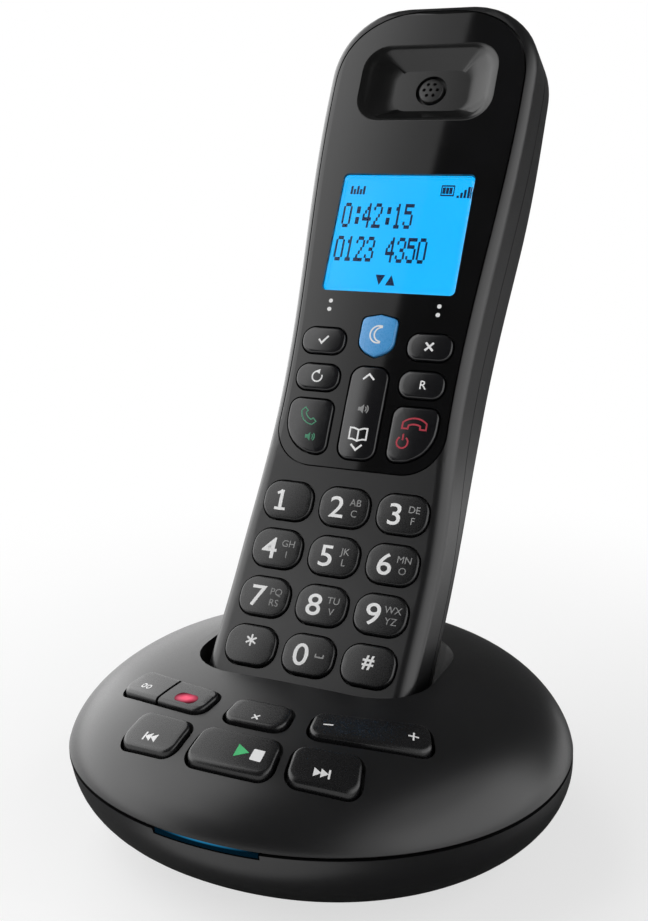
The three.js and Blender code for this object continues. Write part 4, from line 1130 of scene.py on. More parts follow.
pair = base_outlines["pair"]
base_keys = {"find": common(base_key(pair), pair_side(-1)), "answer": common(base_key(pair), pair_side(1))}
for name in ("delete", "play_stop", "skip_back", "skip_forward"):
    base_keys[name] = base_key(base_outlines[name])
base_keys["volume"] = base_cap(base_outlines["volume"])()
for name, key in base_keys.items():
    finish(key, "key_" + name + "_cap", "keys", "base_key_" + name, ["base_key_" + name], base_frame)

# %% [markdown]
# Each sign is placed in a frame on its key, with X along the key's arc.

# %% Signs on the base's keys


def arc_frame(radius, angle, along=0):
    """A frame on a key's arc, at a distance along it."""
    (x, y), = bend([(along, 0)], radius, angle)
    turn = rotated(angle + along / radius, "Z")
    return moved(x, y, on_dome(x, y)) @ turn


def base_signs(key, piece_name, tools, spot, look="white_ink", outline=None):
    cap = base_cap(base_outlines[outline or key])
    print_signs(tools, cap, piece_name, look, "base_key_" + key, spot, base_frame)


rear_left = arc_frame(rear_row_radius, -rear_pair_angle, -rear_pair_width / 4)
rear_inner = arc_frame(rear_row_radius, -rear_pair_angle, rear_pair_width / 4)
rear_right = arc_frame(rear_row_radius, rear_pair_angle)
rear_middle = arc_frame(rear_row_radius, 0)
front_middle = arc_frame(front_row_radius, 0)
front_left = arc_frame(front_row_radius, -skip_key_angle)
front_right = arc_frame(front_row_radius, skip_key_angle)

rings = [at(stroke(arc(0.55, 0, 360)[:-1], 0.3, True), x, -1.2) for x in (-0.8, 0.8)]
base_signs("find", "find_sign", rings, rear_left, outline="pair")
lamp_y = -1.3
lamp = filled(pad_outline(5.6, 2.9, [1.4] * 4))
base_signs("answer", "answer_lamp", [at(lamp, 0, lamp_y)], rear_inner, "lamp", "pair")
lamp_middle = base_frame @ rear_inner @ Vector((0, lamp_y, 0))
fade_glow("lamp", lamp_middle, (3.6, 1.9, 5), 1.2)
crossed = [at(one, 0.2, -1.9) for one in cross(1.9)]
base_signs("delete", "delete_sign", crossed, rear_middle)
back = [at(triangle(1.5, 1.8, True), x, -1.9) for x in (-0.5, 0.9)]
back.append(at(filled(pad_outline(0.4, 1.8, [0.1] * 4)), -1.4, -1.9))
base_signs("skip_back", "skip_back_sign", back, front_left)
forward = [at(triangle(1.5, 1.8), x, -1.6) for x in (-1.2, 0.2)]
forward.append(at(filled(pad_outline(0.4, 1.8, [0.1] * 4)), 1.1, -1.6))
base_signs("skip_forward", "skip_forward_sign", forward, front_right)
base_signs("play_stop", "play_sign", [at(triangle(2.8, 2.9), 2.1, -0.3)], front_middle, "play_green")
square = filled(pad_outline(2.4, 2.5, [0.2] * 4))
base_signs("play_stop", "stop_sign", [at(square, 5.3, -0.4)], front_middle)
minus = at(stroke([(-1, 0), (1, 0)]), -8.4, 0)
plus = [at(one, 8.4, 0) for one in cross(2.1, turn=0)]
base_signs("volume", "volume_signs", [minus, *plus], rear_right)

# %% [markdown]
# The handset's housing is one long skin. Each ring is a rounded section that stands square to the
# face, so the housing bends forward with the face, and its ends round off like a bar of soap.
# The two covers and the door are cut from it, so they meet without a step.

# %% The handset's housing
waist_half_width = 22.7
top_half_width = 26.4
middle_thickness = 24.9
top_thickness = 22.3
front_cover_depth = 11.1
handset_wall = 2
front_edge_radius = 3.5
rear_edge_radius = 6.5
bottom_edge_radius = 3
bottom_corner_radius = 9
top_corner_width = 23
top_corner_length = 19.8
top_corner_power = 2.3
top_rear_radius = 4.5
grip_top = 33
waist_place = 73
shoulder_place = 152
bulge_start = 34
bulge_full = 76
bulge_end = 118
bulge_gone = 158
handset_length = 176.8
end_steps = 16
bend_steps = 16
straight_steps = 40
section_steps = 9


def blend(low, high, share):
    return low + (high - low) * share


def ease(s, start, end, low, high):
    """A smooth change from one value to another, between two places."""
    share = min(max((s - start) / (end - start), 0), 1)
    return blend(low, high, (1 - cos(pi * share)) / 2)


def half_width_at(s):
    grip = ease(s, grip_top, waist_place, lower_half_width, waist_half_width)
    return ease(s, waist_place, shoulder_place, grip, top_half_width)


def thickness_at(s):
    bulge = ease(s, bulge_start, bulge_full, lower_thickness, middle_thickness)
    return ease(s, bulge_end, bulge_gone, bulge, top_thickness)


def round_loss(distance, length, depth, power=2):
    """How much of a quarter round is missing at a distance from its end."""
    if distance >= length:
        return 0
    return depth * (1 - max(1 - (1 - distance / length) ** power, 0) ** (1 / power))


def top_corner_loss(from_top):
    return round_loss(from_top, top_corner_length, top_corner_width, top_corner_power)


def quarter_shares(steps):
    """Shares of a quarter round, closer together at its end."""
    return [1 - cos(pi / 2 * i / steps) for i in range(steps + 1)]


def end_places(tip, length):
    """Places in a round end, closer together at its tip. A negative length runs down from the top."""
    return [tip + length * share for share in quarter_shares(end_steps)]


def between(low, high, steps):
    """Even places between two others."""
    return [blend(low, high, i / steps) for i in range(1, steps)]


def housing_places():
    """Places along the housing."""
    bending = [bend_bottom, *between(bend_bottom, bend_top, bend_steps), bend_top]
    straight = between(bend_top, handset_length - top_corner_length, straight_steps)
    top = reversed(end_places(handset_length, -top_corner_length))
    return [*end_places(0, bottom_corner_radius), *bending, *straight, *top]


def housing_ring(s, inset):
    """One section of the housing, as points in the face's frame there."""
    from_top = handset_length - s
    corner = round_loss(s, bottom_corner_radius, bottom_corner_radius)
    corner += top_corner_loss(from_top)
    half = half_width_at(s) - corner - inset
    lower_loss = round_loss(s, bottom_edge_radius, bottom_edge_radius)
    front = -lower_loss - round_loss(from_top, front_edge_radius, front_edge_radius) - inset
    rear = lower_loss + round_loss(from_top, top_rear_radius, top_rear_radius) + inset - thickness_at(s)
    least = handset_wall / 4
    widest = half - least
    front_radius = max(min(front_edge_radius - inset, (front - rear) / 3, widest), least)
    rear_radius = max(min(rear_edge_radius - inset, (front - rear) / 2, widest), least)
    corners = [
        (half - front_radius, front - front_radius, front_radius),
        (half - rear_radius, rear + rear_radius, rear_radius),
        (rear_radius - half, rear + rear_radius, rear_radius),
        (front_radius - half, front - front_radius, front_radius),
    ]
    ring = []
    for quarter, (x, z, radius) in enumerate(corners):
        for i in range(section_steps + 1):
            turn = (quarter + i / section_steps) * pi / 2
            ring.append(Vector((x + radius * sin(turn), 0, z + radius * cos(turn))))
    return ring


def housing_solid(inset):
    rings = []
    for s in housing_places():
        place = face_frame(blend(inset, handset_length - inset, s / handset_length))
        rings.append([place @ point for point in housing_ring(s, inset)])
    return skin(rings)


def face_slab(depth, outer):
    """A wide slab that follows the face, from a depth behind it to a height above it."""
    half = top_half_width + overrun
    places = [-overrun, *housing_places(), handset_length + overrun]

    def level(s, height):
        along, out, bend_there = face_place(s)
        return along + height * sin(bend_there), out + height * cos(bend_there)

    profile = [level(s, -depth) for s in places] + [level(s, outer) for s in reversed(places)]
    return skin([[(x, y, z) for y, z in profile] for x in (-half, half)])


def on_face(shape, s, x=0):
    return placed(shape, face_frame(s, x))


# %% [markdown]
# Outlines come next: the gloss panel's, the display's, the ear bowl's and the keys'. Every
# opening is its piece's own outline grown by the gap, so a piece always fits its hole.

# %% Outlines on the face
panel_bottom = 57.2
panel_inset = 2.3
panel_thickness = 1.6
panel_corner_radius = 10
panel_top_margin = 2.4
panel_steps = 28
deck_top = panel_thickness + seat_gap
deck_thickness = 1.4
deck_bottom = deck_top + deck_thickness
display_place = 115.4
display_width = 32.8
display_height = 29.8
display_corner = 1
module_margin = 2
ear_place = 155
ear_width = 33.7
ear_height = 19.4
ear_corner = 6
ear_depth = 4.2
ear_wall = 1.2
ear_floor_share = 0.56
ear_lip_radius = 0.7
ear_hole_radius = 4


def panel_outline(grow):
    bottom = panel_bottom - grow
    top = handset_length - panel_top_margin + grow
    radius = panel_corner_radius + grow

    def half_at(s):
        lost = round_loss(s - bottom, radius, radius) + top_corner_loss(top - s)
        return half_width_at(s) - panel_inset + grow - lost

    straight = between(bottom + radius, top - top_corner_length, panel_steps)
    places = [*end_places(bottom, radius), *straight, *reversed(end_places(top, -top_corner_length))]
    return [(half_at(s), s) for s in places] + [(-half_at(s), s) for s in reversed(places)]


def display_outline(grow):
    return pad_outline(display_width + 2 * grow, display_height + 2 * grow, [display_corner + grow] * 4)


def ear_ring(grow, z, out=0):
    """The ear bowl's outline at a height. Its walls slope from its floor to the face."""
    share = 1 + (1 - ear_floor_share) / ear_depth * z
    wide = ear_width * share + 2 * (grow + out)
    high = ear_height * share + 2 * (grow + out)
    return [(x, y, z) for x, y in pad_outline(wide, high, [(ear_corner + grow) * share + out] * 4)]


def ear_bowl(grow, low, high):
    return on_face(skin([ear_ring(grow, low), ear_ring(grow, high)]), ear_place)


def ear_hollow():
    """The bowl's inside, with a rounded lip where it meets the face."""
    rings = [ear_ring(0, -ear_depth), ear_ring(0, -ear_lip_radius)]
    for share in quarter_shares(4)[1:]:
        turn = acos(1 - share)
        rings.append(ear_ring(0, -ear_lip_radius * (1 - sin(turn)), ear_lip_radius * share))
    rings.append([(x, y, overrun) for x, y, z in rings[-1]])
    return on_face(skin(rings), ear_place)


# %% [markdown]
# Every key of the handset is a rounded pad, apart from the shield. The two call keys sweep at
# their lower outer corners, where the panel's own corners are.

# %% The handset's keys, as outlines and places
key_side_cuts = 4
number_column_pitch = 14
number_row_pitch = 11.5
number_bottom_row = 13.6
number_key_proud = 1
function_key_proud = 0.8
shield_width = 8.8
shield_height = 10.4
shield_shoulder_share = 0.41
shield_waist_share = -0.12
shield_tip_share = 0.25
shield_corner = 1.1
shield_steps = 8
plunger_radius = 1.8
key_travel = 0.8
mat_face = 6.5
key_crown = 0.3
key_edge = 0.55


def pad_key(width, height, radii):
    """The outline of a rounded key: it can be grown, or shrunk about its own middle."""

    def outline(grow, share=1):
        grown = [radius + grow for radius in radii]
        pad = pad_outline(width + 2 * grow, height + 2 * grow, grown, side_cuts=key_side_cuts)
        return [(x * share, y * share) for x, y in pad]

    return outline


def shield_outline(grow, share=1):
    """A shield: two curves meet in its tip, and its shoulders are rounded."""
    width = shield_width / 2 + grow
    height = shield_height + 2 * grow
    shoulder = height * shield_shoulder_share
    waist = height * shield_waist_share
    pull = waist - height * shield_tip_share
    curve = []
    for i in range(shield_steps + 1):
        t = i / shield_steps
        drawn = 2 * t * (1 - t)
        y = (1 - t) ** 2 * -height / 2 + drawn * pull + t * t * waist
        curve.append((drawn * width + t * t * width, y))
    right = curve + [(width, shoulder)]
    outline = right + [(0, height / 2)] + [(-x, y) for x, y in reversed(right[1:])]
    flat = bmesh.new()
    verts = [flat.verts.new((x, y, 0)) for x, y in outline]
    flat.faces.new(verts)
    round_off(flat, [verts[len(curve)], verts[len(curve) + 2]], shield_corner, 6)
    return [(point.x * share, point.y * share) for point in face_points(flat, lambda point: point.y)]


number_pad = pad_key(12.1, 9.1, [3.8] * 4)
function_pad = pad_key(10.9, 6.5, [2.9] * 4)
navigation_pad = pad_key(9.3, 22.3, [3] * 4)
talk_pad = pad_key(11, 13.1, [8.4, 2.4, 2.4, 2.4])
end_pad = pad_key(11, 13.1, [2.4, 8.4, 2.4, 2.4])
number_rows = [["star", "0", "hash"], ["7", "8", "9"], ["4", "5", "6"], ["1", "2", "3"]]
handset_keys = {}
for row, names in enumerate(number_rows):
    for column, name in enumerate(names):
        place = number_bottom_row + row * number_row_pitch, (column - 1) * number_column_pitch
        handset_keys[name] = (number_pad, *place, handset_wall, number_key_proud)
for name, outline, s, x in (
    ("menu", function_pad, 87.4, -13.2),
    ("mute", function_pad, 87.4, 13.2),
    ("redial", function_pad, 78.3, -12.9),
    ("recall", function_pad, 78.3, 12.9),
    ("talk", talk_pad, 66.4, -12.9),
    ("end", end_pad, 66.4, 12.9),
    ("do_not_disturb", shield_outline, 89.4, 0),
    ("navigation", navigation_pad, 70.6, 0),
):
    handset_keys[name] = (outline, s, x, deck_bottom, function_key_proud)
print("handset keys:", len(handset_keys))

# %% [markdown]
# The front cover is the housing in front of the parting line, hollowed. A deck for the gloss
# panel is joined in, and then every opening is cut.

# %% The front cover
board_corner_gap = 1.75
screw_place = 95
screw_radius = 1
screw_head_radius = 2.1
screw_head_thickness = 1.4
boss_radius = 2.6
boss_depth = 7.15
cell_radius = 5.25
cell_length = 44.5
cell_bottom = 80
cell_column = 5.5
well_half_width = cell_column + cell_radius + seat_gap
well_wall = 1
screw_column = well_half_width + well_wall + board_corner_gap + boss_radius
microphone_depth = 7.2
microphone_hole_radius = 0.7
ear_room = 1
screw_room = 1


def key_openings(names, low, high):
    keys = [handset_keys[name] for name in names]
    return [on_face(prism(outline(key_gap), low, high), s, x) for outline, s, x, _, _ in keys]


def uprights(radius, low, high):
    return [bar(radius, low, high, moved(x, screw_place)) for x in (-screw_column, screw_column)]


number_names = [name for names in number_rows for name in names]
function_names = [name for name in handset_keys if name not in number_names]
front_part = common(housing_solid(0), face_slab(front_cover_depth, overrun))
deck = common(housing_solid(0), prism(panel_outline(handset_wall), -deck_bottom, overrun))
bosses = uprights(boss_radius, -boss_depth, -deck_top - seat_gap)
front_cover = join(cut(front_part, housing_solid(handset_wall)), deck, *bosses)
microphone_frame = face_frame(0) @ moved(0, 0, -microphone_depth) @ rotated(-pi / 2, "X")
front_cover = cut(
    front_cover,
    prism(panel_outline(seat_gap), -deck_top, overrun),
    on_face(prism(display_outline(module_margin + seat_gap), -deck_bottom - overrun, 0), display_place),
    ear_bowl(ear_wall + seat_gap, -ear_depth - ear_wall - ear_room, 0),
    *key_openings(number_names, -handset_wall - overrun / 2, overrun),
    *key_openings(function_names, -deck_bottom - overrun / 2, 0),
    *uprights(screw_radius + seat_gap, -middle_thickness, -deck_bottom - screw_room),
    bar(microphone_hole_radius, -overrun, overrun, microphone_frame),
)
finish(front_cover, "front_shell", "casing", "handset", ["handset_front_cover"], handset_frame)

# %% [markdown]
# The gloss panel is cut from the same housing, so its edge follows the shell. The ear bowl is
# part of it, and its lip is rounded, because a sharp edge there would hurt the ear.

# %% The gloss panel
plate = common(housing_solid(0), prism(panel_outline(0), -panel_thickness, overrun))
plate = join(plate, ear_bowl(ear_wall, -ear_depth - ear_wall, -panel_thickness / 2))
plate = cut(
    plate,
    ear_hollow(),
    bar(ear_hole_radius, -2 * overrun, overrun, face_frame(ear_place)),
    on_face(prism(display_outline(seat_gap), -overrun, overrun), display_place),
    *key_openings(function_names, -overrun, overrun),
)
face_normal = (lean_turn @ Vector((0, 0, 1))).normalized()
finish(plate, "gloss_front", "gloss_panel", "handset", ["front_plate"], handset_frame, flat_way=face_normal)
ear_spot = handset_frame @ face_frame(ear_place)
bowl_edge = 0.02
bowl_margin = 1


def in_bowl(spot):
    """Whether a place lies in the ear bowl, below the face."""
    wide = ear_width / 2 + bowl_margin
    high = ear_height / 2 + bowl_margin
    return spot.z < -bowl_edge and abs(spot.x) < wide and abs(spot.y) < high


second_look(plate, "ear_bowl", ear_spot, in_bowl)

# %% [markdown]
# The rear cover is the rest of the housing. It has a well for the cells, a step that the door
# slides on, seats for the charge contacts, and screw holes under the door.

# %% The rear cover
door_thickness = 1.6
door_wall = 1.6
door_below = 15
door_above = 6.5
door_bottom = cell_bottom - door_below
door_top = cell_bottom + cell_length + door_above
door_seat = middle_thickness - door_thickness - seat_gap
cavity_floor = door_seat - door_wall
cell_depth = door_seat - cell_radius
strip_metal = 0.6
well_bottom = cell_bottom - seat_gap
well_top = cell_bottom + cell_length + 2 * seat_gap + strip_metal
well_depth = cell_depth - cell_radius + 2 * well_wall
well_height = door_seat - well_depth
contact_width = 5
contact_breadth = 3.2
contact_thickness = 1.15


def behind(depth, top):
    """Everything behind a depth, up to a place on the handset."""
    wide = 2 * (top_half_width + overrun)
    return block(wide, 2 * handset_length, 2 * overrun, (0, top - handset_length, -depth - overrun))


def well_block(grow, extra):
    width = 2 * (well_half_width + grow)
    middle = (0, (well_top + well_bottom) / 2, -well_depth - well_height / 2)
    return block(width, well_top - well_bottom + 2 * grow, well_height + extra, middle)


rear_part = cut(housing_solid(0), face_slab(front_cover_depth + seat_gap, 2 * overrun))
hollow = cut(housing_solid(handset_wall), behind(cavity_floor, door_top))
tubes = uprights(boss_radius, -cavity_floor - door_wall / 2, -boss_depth - seat_gap)
rear_cover = join(cut(rear_part, hollow), well_block(well_wall, 0), *tubes)
seat_width = contact_width + 2 * seat_gap
seat_breadth = contact_breadth + 2 * seat_gap
seat_depth = 2 * (charge_sunk + contact_thickness + seat_gap)
contact_seats = [
    on_face(block(seat_width, seat_depth, seat_breadth, (x, 0, -charge_depth)), 0)
    for x in charge_columns
]
head_seat = screw_head_thickness + 2 * seat_gap - door_seat
rear_cover = cut(
    rear_cover,
    behind(door_seat, door_top + seat_gap),
    well_block(0, 2 * overrun),
    *uprights(screw_radius + seat_gap, -middle_thickness, -boss_depth),
    *uprights(screw_head_radius + seat_gap, -middle_thickness, head_seat),
    *contact_seats,
)
finish(rear_cover, "rear_shell", "casing", "handset", ["handset_rear_cover"], handset_frame)

# %% [markdown]
# The battery door is a slice of the housing too. Six fine ribs across it give the thumb a hold
# when it slides down.

# %% The battery door
thumb_ribs = 6
thumb_rib_pitch = 1.9
thumb_rib_radius = 0.5
thumb_rib_length = 16
thumb_lift = 38
door_middle = (0, (door_top + door_bottom) / 2, -door_seat - seat_gap - overrun)
door_slice = block(2 * (top_half_width + overrun), door_top - door_bottom, 2 * overrun, door_middle)
door = common(housing_solid(0), door_slice)
grooves = []
for i in range(thumb_ribs):
    place = door_bottom + thumb_lift + i * thumb_rib_pitch
    spot = moved(0, place, -middle_thickness) @ rotated(pi / 2, "Y")
    grooves.append(bar(thumb_rib_radius, -thumb_rib_length / 2, thumb_rib_length / 2, spot, 24))
door = cut(door, *grooves)
finish(door, "sliding_door", "casing", "battery_door", ["battery_door"], handset_frame)

# %% [markdown]
# The caps of the keys come from one function. The number keys sit in the matt cover, and the
# others in the gloss panel. The rocker is a little more crowned than the rest.

# %% The handset's key caps
navigation_crown = 0.5


def key_reach(s):
    """How far a key's plunger reaches down to the mat behind it."""
    _, out, bend_there = face_place(s)
    to_mat = (out + mat_face) / cos(bend_there)
    return to_mat - plunger_radius * tan(bend_there) - key_travel - seat_gap


def handset_cap(name):
    """A key's cap, as a function of how far it is raised."""
    outline, s, x, ceiling, proud = handset_keys[name]
    crown = navigation_crown if name == "navigation" else key_crown
    corners = outline(-key_edge)
    reach_x = max(px for px, py in corners)
    reach_y = max(py for px, py in corners)

    def top(px, py):
        return proud - crown * ((px / reach_x) ** 2 + (py / reach_y) ** 2) / 2

    skirt = -ceiling - seat_gap - flange_thickness / 2
    return lambda lift=0: key_cap(outline, skirt, top, key_edge, lift)


for name, (outline, s, x, ceiling, proud) in handset_keys.items():
    key = handset_cap(name)()
    flange_top = ceiling + seat_gap
    if name != "navigation":
        flange = prism(outline(flange_reach), -flange_top - flange_thickness, -flange_top)
        key = join(key, flange, bar(plunger_radius, -key_reach(s), -flange_top, steps=20))
    node = "key_" + name
    slot = "blue_key" if name == "do_not_disturb" else "keys"
    look = "gloss_keys" if name in function_names and slot == "keys" else slot
    finish(key, node + "_cap", slot, node, [node], handset_frame @ face_frame(s, x), look)

# %% [markdown]
# The figures stand left of the middle of their keys, and the letters in two small lines to their
# right, as on any telephone.

# %% Signs on the number keys
figure_height = 5.1
figure_stretch = 1.12
figure_x = -1.6
letter_height = 1.65
letter_x = 2.75
letter_lines = (1.3, -1.25)
letter_pairs = {
    "2": ("AB", "C"),
    "3": ("DE", "F"),
    "4": ("GH", "I"),
    "5": ("JK", "L"),
    "6": ("MN", "O"),
    "7": ("PQ", "RS"),
    "8": ("TU", "V"),
    "9": ("WX", "YZ"),
}


def figure_one(height):
    """A one with a flag and a foot."""
    half = height / 2
    stem = [(0, -half), (0, half - 0.3)]
    flag = [(-1.05, half - 1.15), (-0.3, half - 0.75), (0, half - 0.3)]
    foot = [(-1.2, 0.35 - half), (1.2, 0.35 - half)]
    return join(stroke(stem, 0.75), stroke(flag, 0.6), stroke(foot, 0.62))


def key_signs(name, piece_name, tools, look="white_ink"):
    _, s, x, _, proud = handset_keys[name]
    place = handset_frame @ face_frame(s, x)
    print_signs(tools, handset_cap(name), piece_name, look, "key_" + name, moved(0, 0, proud), place)


for name in number_names:
    if name.isdigit():
        sign = figure_one(figure_height) if name == "1" else figure(name, figure_height, 0.008)
        key_signs(name, "figure_" + name, [at(sign, figure_x, wide=figure_stretch)])
    if name in letter_pairs:
        rows = zip(letter_pairs[name], letter_lines)
        lines = [at(figure(text, letter_height, 0), letter_x, y) for text, y in rows]
        key_signs(name, "letters_" + name, lines, "grey_ink")
space_sign = stroke([(-0.9, 0.4), (-0.9, -0.3), (0.9, -0.3), (0.9, 0.4)], 0.28)
key_signs("0", "space_sign", [at(space_sign, letter_x, 0.1)], "grey_ink")
star_arms = [at(stroke([(-1.35, 0), (1.35, 0)], 0.42), 0, 1, turn) for turn in (30, 90, 150)]
key_signs("star", "star_sign", star_arms)
key_signs("hash", "hash_sign", [at(figure("#", 3.1, 0.03), 0, 1)])

# %% [markdown]
# The keys in the panel carry signs only. The talk and end keys have coloured ones, and the
# shield has an outlined crescent, for quiet nights.

# %% Signs on the panel's keys
tick = stroke([(-1.1, 0.1), (-0.3, -0.8), (1.2, 1)], 0.46)
key_signs("menu", "menu_sign", [tick])
key_signs("mute", "mute_sign", cross(2.7, 0.5))
again = [stroke(arc(1.25, 80, 380), 0.34), at(triangle(1.2, 1.2, True), -0.1, 1.25)]
key_signs("redial", "redial_sign", again)
key_signs("recall", "recall_sign", [at(figure("R", 2.1, 0.01), 0.4)])
key_signs("talk", "talk_sign", [at(receiver(0.36), -0.4, 1.9, 135, 0.74)], "green_ink")
key_signs("talk", "loudspeaker_sign", [at(t, 1, -2.7) for t in loudspeaker(1.2, 0.28)], "green_ink")
key_signs("end", "end_sign", [at(receiver(0.42), 0.2, 2.6, 0, 0.92)], "red_ink")
power = [at(stroke(arc(1.35, 125, 415), 0.38), -2, -1.9), at(stroke([(0, 0.1), (0, 1.6)], 0.38), -2, -1.5)]
key_signs("end", "power_sign", power, "red_ink")
key_signs("navigation", "up_sign", [at(chevron(2.7, 1.3, 0.45), 0, 8.6)])
key_signs("navigation", "volume_sign", [at(t, 0, 0.8) for t in loudspeaker(1.25, 0.28)], "grey_ink")
book = [at(t, 0, -5.1) for t in open_book(4.2, 2.6, 0.38)]
key_signs("navigation", "book_sign", book)
key_signs("navigation", "down_sign", [at(chevron(2.7, 1.3, 0.45), 0, -8.3, 180)])
outer_turn = arc(2.1, 75, 285, (0.4, 0.2), 20)
inner_turn = arc(1.75, 265, 95, (1.1, 0.2), 16)
crescent = stroke(outer_turn + inner_turn, 0.36, True)
key_signs("do_not_disturb", "crescent_sign", [crescent])

# %% [markdown]
# The display is a lit panel behind a clear window. Its characters are small dark cells that lie
# on the panel, on a grid of five by seven for each character. It shows a clock and a row of
# digits, with a battery, bars and two arrows.

# %% The display
module_thickness = 4.2
window_edge = 0.3
cell_thickness = 0.05
dot_width = 0.5
dot_height = 0.9
dot_pitch_x = 0.44
dot_pitch_y = 0.92
glyphs = {
    "0": " ### #   ##   ##   ##   ##   # ### ",
    "1": "  #   ##    #    #    #    #   ### ",
    "2": " ### #   #    #   #   #   #   #####",
    "3": " ### #   #    #  ##     ##   # ### ",
    "4": "   #   ##  # # #  # #####   #    # ",
    "5": "######    ####     #    ##   # ### ",
    ":": "       ##   ##        ##   ##      ",
}
glyph_columns = 5
glyph_rows = 7
glyph_step = 6
clock_text = "0:42:15"
clock_place = (-15.7, 1.7)
digits_text = "0123 4350"
digits_place = (-16, -7)

levels = ((0, -panel_thickness), (0, -window_edge), (-window_edge, 0))
window = skin([[(x, y, z) for x, y in display_outline(grow)] for grow, z in levels])
display_spot = handset_frame @ face_frame(display_place)
finish(window, "clear_window", "display_window", "handset", ["display_window"], display_spot)
module = prism(display_outline(module_margin), -deck_top - module_thickness, -deck_top)
finish(module, "lit_panel", "display", "handset", ["lcd_module"], display_spot)


def dot_words(text, place):
    """A row of characters, as boxes of dots, from the lower left corner of its first dot."""
    boxes = []
    for i, letter in enumerate(text):
        for j, mark in enumerate(glyphs.get(letter, "")):
            if mark == "#":
                left = place[0] + (i * glyph_step + j % glyph_columns) * dot_pitch_x
                low = place[1] + (glyph_rows - 1 - j // glyph_columns) * dot_pitch_y
                boxes.append((left, low, dot_width, dot_height))
    return boxes


def display_boxes(boxes, name):
    """Dark cells on the display, from (left, bottom, width, height)."""
    dots = bmesh.new()
    for left, low, width, height in boxes:
        corners = bmesh.ops.create_cube(dots, size=1)["verts"]
        bmesh.ops.scale(dots, vec=(width, height, cell_thickness), verts=corners)
        middle = (left + width / 2, low + height / 2, -deck_top + cell_thickness / 2)
        bmesh.ops.translate(dots, vec=middle, verts=corners)
    finish(dots, name, "display", "handset", (), display_spot, "dark_cell")


display_boxes(dot_words(clock_text, clock_place), "display_clock")
display_boxes(dot_words(digits_text, digits_place), "display_digits")
battery_boxes = [(8.7 + i * 0.85, 10.9, 0.7, 1.6) for i in range(3)]
battery_boxes += [(8.3, low, 3.3, 0.35) for low in (10.3, 12.75)]
battery_boxes += [(left, 10.3, 0.25, 2.6) for left in (8.3, 11.4)]
bar_boxes = [(12.4 + i * 0.85, 9.9, 0.55, 0.6 + i * 0.75) for i in range(4)]
small_boxes = [(-14.8 + i * 0.8, 10.4, 0.55, 2.2 - (i % 2) * 0.8) for i in range(5)]
display_boxes(battery_boxes + bar_boxes + small_boxes, "display_icons")
arrow_y = -11.5
for name, x, turn in (("down", -2.9, -90), ("up", -0.1, 90)):
    arrow = prism([(-1.3, -1.2), (1.3, 0), (-1.3, 1.2)], 0, cell_thickness)
    placed(arrow, moved(x, arrow_y, -deck_top) @ rotated(radians(turn), "Z"))
    finish(arrow, "display_arrow_" + name, "display", "handset", (), display_spot, "dark_cell")

# %% [markdown]
# Two pairs of white dots are printed on the panel under the display, over the upper keys.

# %% Dots on the panel
panel_dot_radius = 0.52
panel_dot_x = 13.6
panel_dot_places = (95.4, 97.5)
dots = [
    bar(panel_dot_radius, -ink_height, ink_height, moved(x, s), 24)
    for x in (-panel_dot_x, panel_dot_x)
    for s in panel_dot_places
]
finish(join(*dots), "panel_dots", "gloss_panel", "handset", (), handset_frame, "white_ink")

# %% [markdown]
# In the ear bowl's hole stands the end of the earpiece: a domed cap with a ring of small holes.
# The loudspeaker behind it is turned in one profile with the cap.

# %% The earpiece
ear_cap_radius = 3.1
ear_cap_inset = 0.6
ear_cap_dome = 0.5
earpiece_radius = 9.5
earpiece_thickness = 4
earpiece_edge = 0.6
sound_hole_radius = 0.45
sound_hole_depth = 0.5
sound_ring_radius = 1.7
earpiece_top = -ear_depth - ear_wall - seat_gap
earpiece_low = earpiece_top - earpiece_thickness
earpiece_profile = [
    (0, earpiece_low),
    (earpiece_radius - earpiece_edge, earpiece_low),
    (earpiece_radius, earpiece_low + earpiece_edge),
    (earpiece_radius, earpiece_top),
    (ear_cap_radius, earpiece_top),
    *domed_tip(ear_cap_radius, ear_cap_inset - ear_depth, ear_cap_dome),
]
spots = [moved(0, 0)]
spots += [moved(sound_ring_radius * cos(pi / 3 * i), sound_ring_radius * sin(pi / 3 * i)) for i in range(6)]
holes = [bar(sound_hole_radius, -ear_depth - sound_hole_depth, overrun, spot, 16) for spot in spots]
earpiece = cut(turned(earpiece_profile), *holes)
finish(earpiece, "earpiece_unit", "steel", "handset", ["earpiece_speaker"], ear_spot, "socket")

# %% [markdown]
# Under the battery door lie two cells with wrapped sleeves and the heads of two screws. Both show
# when the door is off. The cells are turned, with a crimp near the top.

# %% Cells and screws
cell_edge = 0.5
crimp_depth = 0.35
terminal_radius = 1.9
terminal_length = 1
terminal_edge = 0.2
crimp_start = 4
crimp_slope = 0.5
screw_edge = 0.5
screw_shaft = 8.6
screw_tip = 9.4
slit_length = 2.6
slit_width = 0.55
slit_depth = 1.2
head_low = seat_gap - door_seat
cell_body = cell_length - terminal_length
crimp_low = cell_body - crimp_start
cell_profile = [
    (0, 0),
    (cell_radius - cell_edge, 0),
    (cell_radius, cell_edge),
    (cell_radius, crimp_low),
    (cell_radius - crimp_depth, crimp_low + crimp_slope),
    (cell_radius - crimp_depth, crimp_low + 2 * crimp_slope),
    (cell_radius, crimp_low + 3 * crimp_slope),
    (cell_radius, cell_body - cell_edge),
    (cell_radius - cell_edge, cell_body),
    (terminal_radius, cell_body),
    (terminal_radius, cell_length - terminal_edge),
    (terminal_radius - terminal_edge, cell_length),
    (0, cell_length),
]
screw_profile = [
    (0, 0),
    (screw_head_radius - screw_edge, 0),
    (screw_head_radius, screw_edge),
    (screw_head_radius, screw_head_thickness),
    (screw_radius, screw_head_thickness),
    (screw_radius, screw_shaft),
    (0, screw_tip),
]
